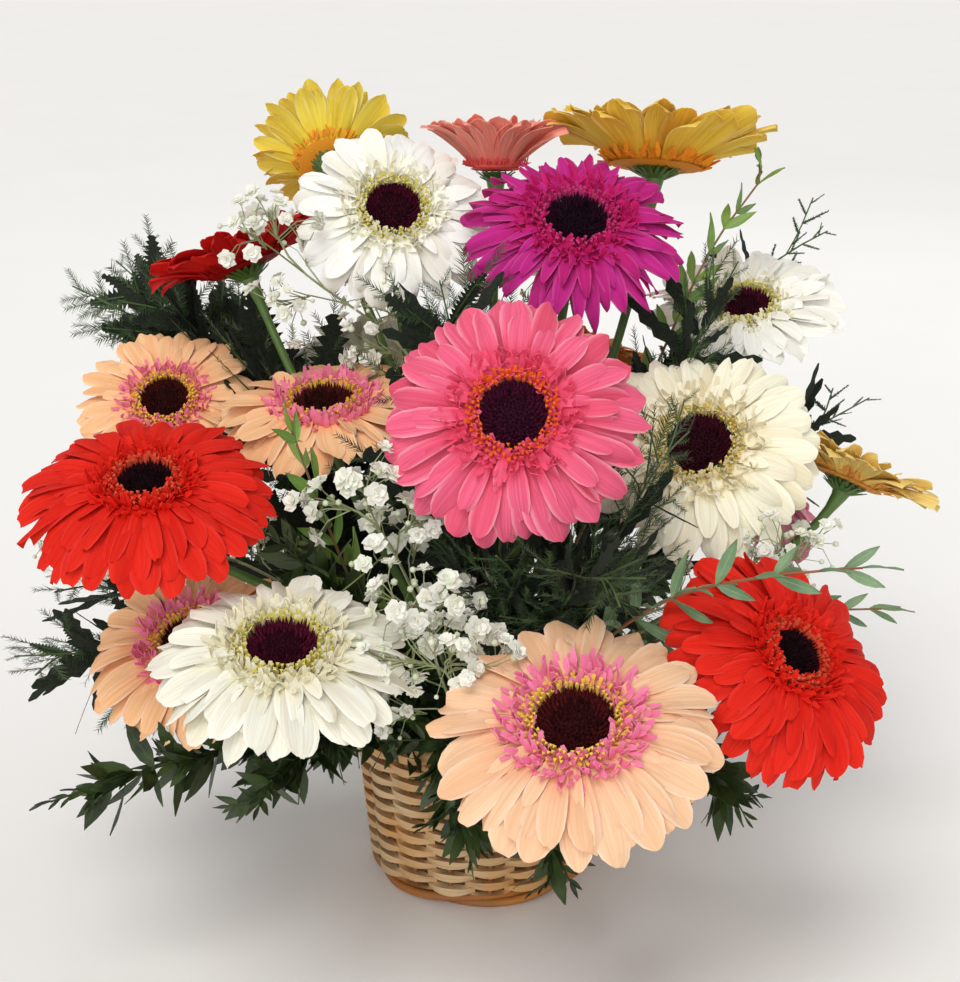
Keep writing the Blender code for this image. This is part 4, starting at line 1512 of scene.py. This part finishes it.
def add_cluster(shape, rng, root, way, florets, size, settings, blooms, bud):
    """A twig's end: forks that carry open florets and buds."""
    thin = settings.twig_radius
    for _ in range(florets):
        fork = root - way * rng.uniform(0.0, 0.014)
        out = scattered(rng, way, 12.0, 78.0)
        end = fork + out * rng.uniform(0.011, 0.024)
        leaving = add_twig(shape, fork, (way + out).normalized(), end, thin * 0.7)
        open_size = settings.floret * size * rng.uniform(0.72, 1.12)
        facing = (leaving + out * 0.5 + Vector((0.0, -0.35, 0.35))).normalized()
        matrix = pointing(end, facing, out.orthogonal(), open_size, open_size)
        press(shape, rng.choice(blooms), matrix)
        if rng.random() < BUD_SHARE:
            tip = fork + scattered(rng, way, 20.0, 80.0) * rng.uniform(0.008, 0.018)
            add_twig(shape, fork, way, tip, thin * 0.5)
            round_size = rng.uniform(0.0011, 0.0019)
            press(shape, bud, Matrix.Translation(tip) @ Matrix.Scale(round_size, 4))


class FLOWERS_OT_breath(Operator):
    """Build the sprays of baby's breath"""

    bl_idname = "flowers.breath"
    bl_label = "Baby's breath"

    def execute(self, context):
        settings = context.scene.flower_breath
        rng = random.Random(BLOOM_SEED)
        blooms = [breath_template(rng) for _ in range(4)]
        bud = bud_template()
        white = petal_material("breath_white", settings.throat, settings.white, settings.white, 0.1)
        twig = leaf_material("breath_twig", settings.twig, settings.bud, 0.0)
        green = leaf_material("breath_bud", settings.bud, settings.white, 0.0)
        for seed, (name, florets, size) in enumerate(BREATHS, SPRAY_SEED):
            node = "gypsophila_" + name
            rng = random.Random(seed)
            main, chains = read_spray(node)
            shape = new_shape()
            add_stem(shape, main, 0.0005, 22)
            for chain in chains:
                tip, way = Line(chain).at(0.985)
                if chain is not chains[0]:
                    start, leaving = main.at(main.nearest(tip) - 0.10)
                    add_twig(shape, start, leaving, tip, settings.twig_radius)
                add_cluster(shape, rng, tip, way, florets, size, settings, blooms, bud)
            fewer = max(2, florets // 2)
            for _ in range(3):
                start, leaving = main.at(rng.uniform(0.62, 0.9))
                out = scattered(rng, leaving, 30.0, 60.0)
                tip = start + out * rng.uniform(0.018, 0.030)
                way = add_twig(shape, start, leaving, tip, settings.twig_radius)
                add_cluster(shape, rng, tip, way, fewer, size, settings, blooms, bud)
            piece(node + "_spray", shape, (white, twig, green), node, "baby_breath")
        cleared([*blooms, bud])
        return {"FINISHED"}


# ---------------------------------------------------------------- greenery


def plume_template(rng, needles, reach, thick, stalk, flat):
    """A twig of unit length along +Y set with needles; flat keeps them near its plane."""
    shape = new_shape()
    twig = rod_template(LEAF, 0.0, 3)
    press(shape, twig, Matrix.Diagonal((stalk, 1.0, stalk, 1.0)))
    for index in range(needles):
        along = 0.04 + 0.96 * (index + rng.uniform(0.0, 0.8)) / needles
        if flat:
            around = rng.gauss(0.0, 0.25) + math.pi * (index % 2)
        else:
            around = rng.uniform(0.0, math.tau)
        tilt = math.radians(rng.uniform(30.0, 56.0))
        side = Vector((math.cos(around), 0.0, math.sin(around)))
        way = Vector((0.0, math.cos(tilt), 0.0)) + side * math.sin(tilt)
        span = reach * rng.uniform(0.7, 1.15) * (1.1 - 0.5 * along)
        matrix = pointing(Vector((0.0, along, 0.0)), way, side.cross(way), thick, span)
        matrix = matrix @ Matrix.Diagonal((1.0, 1.0, thick / span * (0.5 if flat else 1.0), 1.0))
        press(shape, twig, matrix)
    cleared([twig])
    return into_mesh("plume", shape)


def along_stem(rng, main, side, first, pitch):
    """Places up a stem: share, point, direction, which side, and the way out from it."""
    total = max(int(main.length * (1.0 - first) / pitch), 2)
    for index in range(total):
        share = first + (1.0 - first) * (index + rng.uniform(0.2, 0.8)) / total
        point, way = main.at(share)
        out = side - way * side.dot(way)
        out.normalize()
        yield share, point, way, (out if index % 2 else -out)


def upper(way, out):
    """The direction square to a stem and its leaves that points up, or forward when level."""
    face = way.cross(out)
    return face if face.dot(FORWARD_AND_UP) >= 0.0 else -face


def add_frond(shape, rng, main, side, first, pitch, reach, plumes, spread, loose=1.0):
    """Plumes on both sides of a stem, long at its middle and short towards its tip."""
    for share, point, way, out in along_stem(rng, main, side, first, pitch):
        part = (share - first) / (1.0 - first)
        size = reach * (0.45 + 1.1 * part) * (1.15 - part) * rng.uniform(0.75, 1.15)
        face = upper(way, out)
        tilt = math.radians(rng.uniform(*spread))
        lift = rng.uniform(-loose, loose)
        direction = way * math.cos(tilt) + (out + face * lift).normalized() * math.sin(tilt)
        press(shape, rng.choice(plumes), pointing(point, direction, face, size, size))


def kept_back(direction, ahead):
    """A direction turned so that it points no further to the front than it may."""
    if direction.y >= ahead:
        return direction
    return Vector((direction.x, ahead, direction.z)).normalized()


def add_undergrowth(shape, rng, main, leaves, size, count, band, width=0.34, ahead=-1.0):
    """Leaves all round a band of a stem that fill the room between the flowers."""
    for _ in range(count):
        point, way = main.at(rng.uniform(*band))
        direction = kept_back(scattered(rng, way, 25.0, 80.0), ahead)
        face = direction.orthogonal().normalized()
        face = Matrix.Rotation(rng.uniform(0.0, math.tau), 3, direction) @ face
        span = size * rng.uniform(0.7, 1.2)
        end = point + direction * span
        if end.z > FILLER_CLEARANCE:
            matrix = pointing(point, direction, face, span * width, span)
            press(shape, rng.choice(leaves), matrix)


def frond_sheet_template(rng, rows):
    """A comb-edged sheet of unit length and width that closes a frond behind its needles."""
    valley = rng.uniform(0.46, 0.58)
    curl = rng.uniform(-0.08, 0.12)

    def outline(along):
        tooth = 1.0 if round(along * rows) % 2 else valley
        return tooth * (0.2 + 0.8 * math.sin(math.pi * min(max(along, 0.0) * 0.86 + 0.12, 1.0)))

    def height(along, across):
        return curl * along * along

    mesh = sheet_template("frond", 1, rows, outline, height, 0.006, SHADE_SHEET)
    for vert in mesh.vertices:
        vert.co.y += 0.13 * abs(vert.co.x)
    return mesh


def add_fan(shape, rng, main, side, fan, feathers, shade_sheets):
    """Side fronds that leave a stem in turn, some of them turned out of its plane."""
    reach, start, count, _, ahead = fan
    for index in range(count):
        share = start + (0.92 - start) * (index + rng.uniform(0.2, 0.8)) / count
        point, way = main.at(share)
        turned = Matrix.Rotation(math.radians(rng.choice((0.0, 0.0, 55.0, -55.0))), 3, way)
        out = turned @ (side - way * side.dot(way))
        out = out.normalized() if index % 2 else -out.normalized()
        face = upper(way, out)
        tilt = math.radians(rng.uniform(34.0, 56.0))
        lean = (out + face * rng.uniform(-0.35, 0.45)).normalized()
        span = reach * (1.2 - 0.8 * index / count) * rng.uniform(0.85, 1.1)
        direction = kept_back(way * math.cos(tilt) + lean * math.sin(tilt), ahead)
        end = point + direction * span
        end.z = max(end.z, FROND_CLEARANCE)
        branch = Line([point, point.lerp(end, 0.5) + way * span * 0.08, end], 1)
        sweep(shape, branch.spots(3), [SHOOT_RADIUS] * 4, 3, TWIG)
        level = face.cross(direction)
        add_frond(shape, rng, branch, level, 0.05, 0.0080, 0.032, feathers, (28.0, 50.0), 0.4)
        press(shape, feathers[0], pointing(end, branch.at(1.0)[1], face, 0.016, 0.016))
        # a dark sheet behind each side frond, and a second on wide fans: painted shade among the
        # needles
        tilted = Matrix.Rotation(math.radians(rng.uniform(-30.0, 30.0)), 3, direction) @ face
        matrix = pointing(point - face * 0.0012, direction, tilted, span * 0.36, span)
        if shade_sheets:
            press(shape, rng.choice(shade_sheets), matrix)
        if reach > DENSE_FAN:
            low = kept_back(scattered(rng, way, 20.0, 60.0), ahead)
            press(shape, rng.choice(shade_sheets), pointing(point, low, tilted, span * 0.3, span * 0.8))


def shoot_line(main, tip, past=0.0):
    """A side shoot's line to its tip or past it, with its stem's direction and its own."""
    start, way = main.at(main.nearest(tip) - 0.05)
    out = (tip - start).normalized()
    line = Line([start, start.lerp(tip, 0.5) + way * 0.002, tip + out * past], 0)
    return line, way, out


def build_fronds(node, seed, plumes, feathers, pitches, reach, materials, slot, fan, fillers):
    """A whole frond: the main stem, its shoots, plumes on them all and serrated fillers.

    The plumes stand wide apart and the feathers close, by the two pitches. fan is a row of
    FERNS without its name, and fillers are the sheets of its side fronds and the leaves round
    its stem.
    """
    rng = random.Random(seed)
    main, tips, side = read_sprig(node)
    shade_sheets, leaves = fillers
    filler, ahead = fan[3:]
    shape = new_shape()
    add_stem(shape, main, 0.0004, 20)
    wide, close = pitches
    add_frond(shape, rng, main, side, PLUMES_FROM, wide, reach, plumes, (34.0, 64.0))
    add_frond(shape, rng, main, side, PLUMES_FROM, close, reach, feathers, (36.0, 58.0), 0.4)
    # dark sheets of painted shade behind the side fronds and round the stem
    add_fan(shape, rng, main, side, fan, feathers, shade_sheets)
    add_undergrowth(shape, rng, main, leaves, 0.036, filler, (0.04, 0.85), 0.27, ahead)
    for tip in tips:
        branch, way, out = shoot_line(main, tip, 0.012)
        sweep(shape, branch.spots(4), [SHOOT_RADIUS] * 5, SHOOT_SIDES, TWIG)
        level = way.cross(out).cross(out)
        add_frond(shape, rng, branch, level, 0.1, close, reach * 0.8, feathers, (30.0, 54.0), 0.4)
    piece(node + "_frond", shape, materials, node, slot)


def lance_template(rng, fold, droop, widest, columns=2, rows=5):
    """A pointed leaf of unit length and width, folded along its midrib."""
    sway = rng.uniform(-0.04, 0.04)

    def outline(along):
        if along < widest:
            return 0.12 + 0.88 * math.sin(0.5 * math.pi * max(along, 0.0) / widest)
        return math.cos(0.5 * math.pi * (along - widest) / (1.0 - widest)) ** 0.85 + 0.02

    def height(along, across):
        return fold * abs(across) - droop * along * along + sway * math.sin(6.0 * along) * across

    return sheet_template("lance", columns, rows, outline, height, 0.012, LEAF)


def add_leaves(shape, rng, main, side, first, pitch, leaf, leaves, spread, paired=False):
    """Leaves up a stem, one at a time or in crossed pairs; leaf is (length, width over it)."""
    long, slim = leaf
    crossed = False
    for share, point, way, out in along_stem(rng, main, side, first, pitch):
        part = (share - first) / (1.0 - first)
        if paired:
            turn = math.radians(90.0 * crossed + rng.uniform(-15.0, 15.0))
            out = Matrix.Rotation(turn, 3, way) @ out
            crossed = not crossed
        for way_out in ((out, -out) if paired else (out,)):
            face = upper(way, way_out)
            tilt = math.radians(rng.uniform(*spread) * (1.0 - 0.35 * part))
            lift = rng.uniform(-0.25, 0.35)
            lean = (way_out + face * lift).normalized()
            direction = way * math.cos(tilt) + lean * math.sin(tilt)
            span = long * rng.uniform(0.8, 1.12) * (1.0 - 0.42 * part**2)
            turned = (face + way_out * rng.uniform(-0.5, 0.5)).normalized()
            matrix = pointing(point, direction, turned, span * slim, span)
            press(shape, rng.choice(leaves), matrix)
    point, way = main.at(1.0)
    matrix = pointing(point, way, upper(way, side), long * 0.5 * slim, long * 0.6)
    press(shape, leaves[0], matrix)


def build_sprig(slot, name, seed, kind, materials, filler):
    """A sprig with leaves in pairs, or one at a time with fillers and side shoots.

    kind is its leaves, their length and width over it, their pitch, and whether they pair.
    """
    leaves, leaf, pitch, paired = kind
    node = f"{slot}_{name}"
    rng = random.Random(seed)
    main, tips, side = read_sprig(node)
    shape = new_shape()
    add_stem(shape, main, 0.0005, 20)
    add_leaves(shape, rng, main, side, LEAVES_FROM, pitch, leaf, leaves, (38.0, 62.0), paired)
    if paired:
        add_undergrowth(shape, rng, main, leaves, 0.020, 8, (0.06, 0.4))
        tips = []
    else:
        # the fillers: extra dark leaves crowded round the stem, partly leaves and partly painted
        # shade between the flowers
        add_undergrowth(shape, rng, main, filler, 0.022, 130, (0.04, 0.88))
    smaller = (leaf[0] * 0.8, leaf[1])
    for tip in tips:
        branch, way, out = shoot_line(main, tip)
        sweep(shape, branch.points, [SHOOT_RADIUS] * 3, SHOOT_SIDES, TWIG)
        across = way.cross(out)
        add_leaves(shape, rng, branch, across, 0.15, pitch, smaller, leaves, (38.0, 58.0))
    piece(node + "_sprig", shape, materials, node, slot)


class FLOWERS_OT_ferns(Operator):
    """Build the asparagus ferns and the cedar sprigs"""

    bl_idname = "flowers.ferns"
    bl_label = "Ferns and cedar"

    def execute(self, context):
        settings = context.scene.flower_greenery
        rng = random.Random(PLUME_SEED)
        fine = [plume_template(rng, 28, 0.34, 0.014, 0.02, False) for _ in range(5)]
        feathers = [plume_template(rng, 28, 0.36, 0.036, 0.03, True) for _ in range(6)]
        scaly = [plume_template(rng, 34, 0.16, 0.075, 0.10, True) for _ in range(5)]
        shade_sheets = [frond_sheet_template(rng, 26) for _ in range(4)]
        filler = [frond_sheet_template(rng, 8) for _ in range(4)]
        green = leaf_material("fern_needles", settings.fern, settings.fern_tip, 0.0)
        twig = leaf_material("fern_twig", settings.fern_tip, settings.fern, 0.0)
        dark = leaf_material("cedar_scales", settings.cedar, settings.cedar_tip, 0.0)
        # painted shade: the dark sheets among the needles
        painted_shade = grainy_material("fern_painted_shade", settings.shade, settings.mass, 800.0, 1.0, 0.9)
        for seed, (name, *fan) in enumerate(FERNS, FERN_SEED):
            shade_backing = () if name == OPEN_FERN else shade_sheets
            build_fronds(
                "asparagus_fern_" + name, seed, fine, feathers, (0.0072, 0.0058),
                settings.needle, (green, twig, painted_shade), "fern", fan, (shade_backing, filler),
            )
        for seed, name in enumerate(CEDARS, CEDAR_SEED):
            build_fronds(
                "cedar_" + name, seed, scaly, scaly, (0.014, 0.0065),
                settings.needle * 0.8, (dark, twig, painted_shade), "cedar", CEDAR_FAN, (shade_sheets, filler),
            )
        cleared(fine + feathers + scaly + shade_sheets + filler)
        return {"FINISHED"}


class FLOWERS_OT_leaves(Operator):
    """Build the ruscus and eucalyptus sprigs"""

    bl_idname = "flowers.leaves"
    bl_label = "Ruscus and eucalyptus"

    def execute(self, context):
        settings = context.scene.flower_greenery
        rng = random.Random(LEAF_SEED)
        glossy = [lance_template(rng, 0.05, 0.10, 0.38) for _ in range(5)]
        matt = [lance_template(rng, 0.03, 0.14, 0.42) for _ in range(5)]
        filler = [lance_template(rng, 0.05, 0.14, 0.40, 1, 4) for _ in range(4)]
        dark = leaf_material("ruscus_leaf", settings.ruscus, settings.ruscus_light, 0.35)
        pale = leaf_material("eucalyptus_leaf", settings.eucalyptus, settings.eucalyptus_light, 0.6)
        red = leaf_material("eucalyptus_twig", settings.red_twig, settings.eucalyptus, 0.0)
        spring = leaf_material("spring_leaf", settings.spring, settings.spring_light, 0.5)
        kind = (glossy, (0.016, 0.28), 0.0032, False)
        for seed, name in enumerate(RUSCUSES, SPRIG_SEED):
            build_sprig("ruscus", name, seed, kind, (dark, dark), filler)
        kind = (matt, (0.026, 0.27), 0.013, True)
        for seed, (name, fresh) in enumerate(EUCALYPTUSES, SPRIG_SEED + len(RUSCUSES)):
            tone = spring if fresh else pale
            build_sprig("eucalyptus", name, seed, kind, (tone, red), filler)
        cleared(glossy + matt + filler)
        return {"FINISHED"}


# ---------------------------------------------------------------- stage


FLOOR_RADIUS = 9.0
WHITE = (1.0, 1.0, 1.0)
WARM = (1.0, 0.97, 0.93)
COOL = (0.95, 0.98, 1.0)

# The strength of the surround's light, and how much brighter the camera sees it.
GLOW = 0.46
BACKDROP = 0.48


def looking(way):
    """The rotation of a lamp or a camera that looks along way."""
    return way.to_track_quat("-Z", "Y").to_euler()


def add_sun(name, way, strength, softness, tint):
    """A distant lamp that shines along way; softness is its width in degrees."""
    sun = bpy.data.lights.new(name, "SUN")
    sun.energy = strength
    sun.angle = math.radians(softness)
    sun.color = tint
    new_object(name, sun).rotation_euler = looking(Vector(way))


def add_lamp(name, place, aim, size, power, tint):
    """A soft square lamp that points at the arrangement."""
    lamp = bpy.data.lights.new(name, "AREA")
    lamp.shape = "SQUARE"
    lamp.size = size
    lamp.energy = power
    lamp.color = tint
    holder = new_object(name, lamp)
    holder.location = place
    holder.rotation_euler = looking(aim - Vector(place))


def add_floor(settings):
    """A wide plain floor."""
    shape = bmesh.new()
    bmesh.ops.create_circle(shape, cap_ends=True, segments=96, radius=FLOOR_RADIUS)
    mesh = into_mesh("stage_floor", shape)
    pale = [value * 0.99 for value in settings.floor]
    mesh.materials.append(grainy_material("floor_paint", settings.floor, pale, 6.0, 0.9, 0.01))
    new_object("stage_floor", mesh)


def add_camera(settings, aim):
    """The camera, in front of the arrangement and above it."""
    lens = bpy.data.cameras.new("camera")
    lens.lens = settings.lens
    lens.sensor_width = 36.0
    camera = new_object("camera", lens)
    back = math.cos(settings.elevation) * settings.distance
    rise = math.sin(settings.elevation) * settings.distance
    camera.location = aim + Vector((0.0, -back, rise))
    camera.rotation_euler = looking(aim - camera.location)
    bpy.context.scene.camera = camera


def add_world(power):
    """An even white surround, brighter to the camera than to the flowers."""
    world = bpy.data.worlds.new("studio")
    world.use_nodes = True
    net = Net(world.node_tree)
    seen = net.add("ShaderNodeLightPath").outputs["Is Camera Ray"]
    glow = net.math("ADD", net.math("MULTIPLY", seen, BACKDROP * power), GLOW * power)
    ground = world.node_tree.nodes["Background"].inputs
    net.fill(ground, {"Color": opaque(WHITE), "Strength": glow})
    bpy.context.scene.world = world


class FLOWERS_OT_stage(Operator):
    """Lay the floor, hang the lamps and set the camera"""

    bl_idname = "flowers.stage"
    bl_label = "Stage"

    def execute(self, context):
        settings = context.scene.flower_stage
        aim = Vector((0.0, 0.0, settings.height))
        power = settings.brightness
        add_floor(settings)
        add_camera(settings, aim)
        add_sun("sky_lamp", (0.26, 0.62, -1.1), 1.35 * power, 34.0, WARM)
        add_sun("fill_lamp", (0.12, 0.92, -0.30), power, 40.0, WHITE)
        add_lamp("back_lamp", (0.5, 1.4, 1.1), aim, 0.9, 2.0 * power, COOL)
        add_world(power)
        context.scene.view_settings.view_transform = "Standard"
        return {"FINISHED"}


# ---------------------------------------------------------------- panel and run


class FLOWERS_PT_panel(Panel):
    """Lists the steps that finish the arrangement, in order"""

    bl_idname = "FLOWERS_PT_panel"
    bl_label = "Flower Basket"
    bl_space_type = "VIEW_3D"
    bl_region_type = "UI"
    bl_category = "Flower Basket"

    def draw(self, context):
        for title, holder in SETTINGS.items():
            box = self.layout.box()
            box.label(text=title.replace("_", " ").title())
            values = getattr(context.scene, title)
            for field in holder.__annotations__:
                box.prop(values, field)
        for operator in OPERATORS:
            self.layout.operator(operator.bl_idname)


SETTINGS = {
    "flower_basket": FLOWERS_PG_basket,
    "flower_gerberas": FLOWERS_PG_gerberas,
    "flower_petals": FLOWERS_PG_petals,
    "flower_breath": FLOWERS_PG_breath,
    "flower_greenery": FLOWERS_PG_greenery,
    "flower_stage": FLOWERS_PG_stage,
}
OPERATORS = (
    FLOWERS_OT_stage,
    FLOWERS_OT_basket,
    FLOWERS_OT_foam,
    FLOWERS_OT_gerberas,
    FLOWERS_OT_breath,
    FLOWERS_OT_ferns,
    FLOWERS_OT_leaves,
)
CLASSES = (*SETTINGS.values(), *OPERATORS, FLOWERS_PT_panel)


def register():
    """Add the classes and the settings."""
    for item in CLASSES:
        bpy.utils.register_class(item)
    for title, holder in SETTINGS.items():
        setattr(bpy.types.Scene, title, PointerProperty(type=holder))


def unregister():
    """Take the settings and the classes away again."""
    for title in SETTINGS:
        delattr(bpy.types.Scene, title)
    for item in reversed(CLASSES):
        bpy.utils.unregister_class(item)


def main():
    """Finish the arrangement and note the sizes of the frame and of the visible model."""
    register()
    bpy.ops.flowers.stage()
    bpy.ops.flowers.basket()
    bpy.ops.flowers.foam()
    bpy.ops.flowers.gerberas()
    bpy.ops.flowers.breath()
    bpy.ops.flowers.ferns()
    bpy.ops.flowers.leaves()
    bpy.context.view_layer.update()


if __name__ == "__main__":
    main()
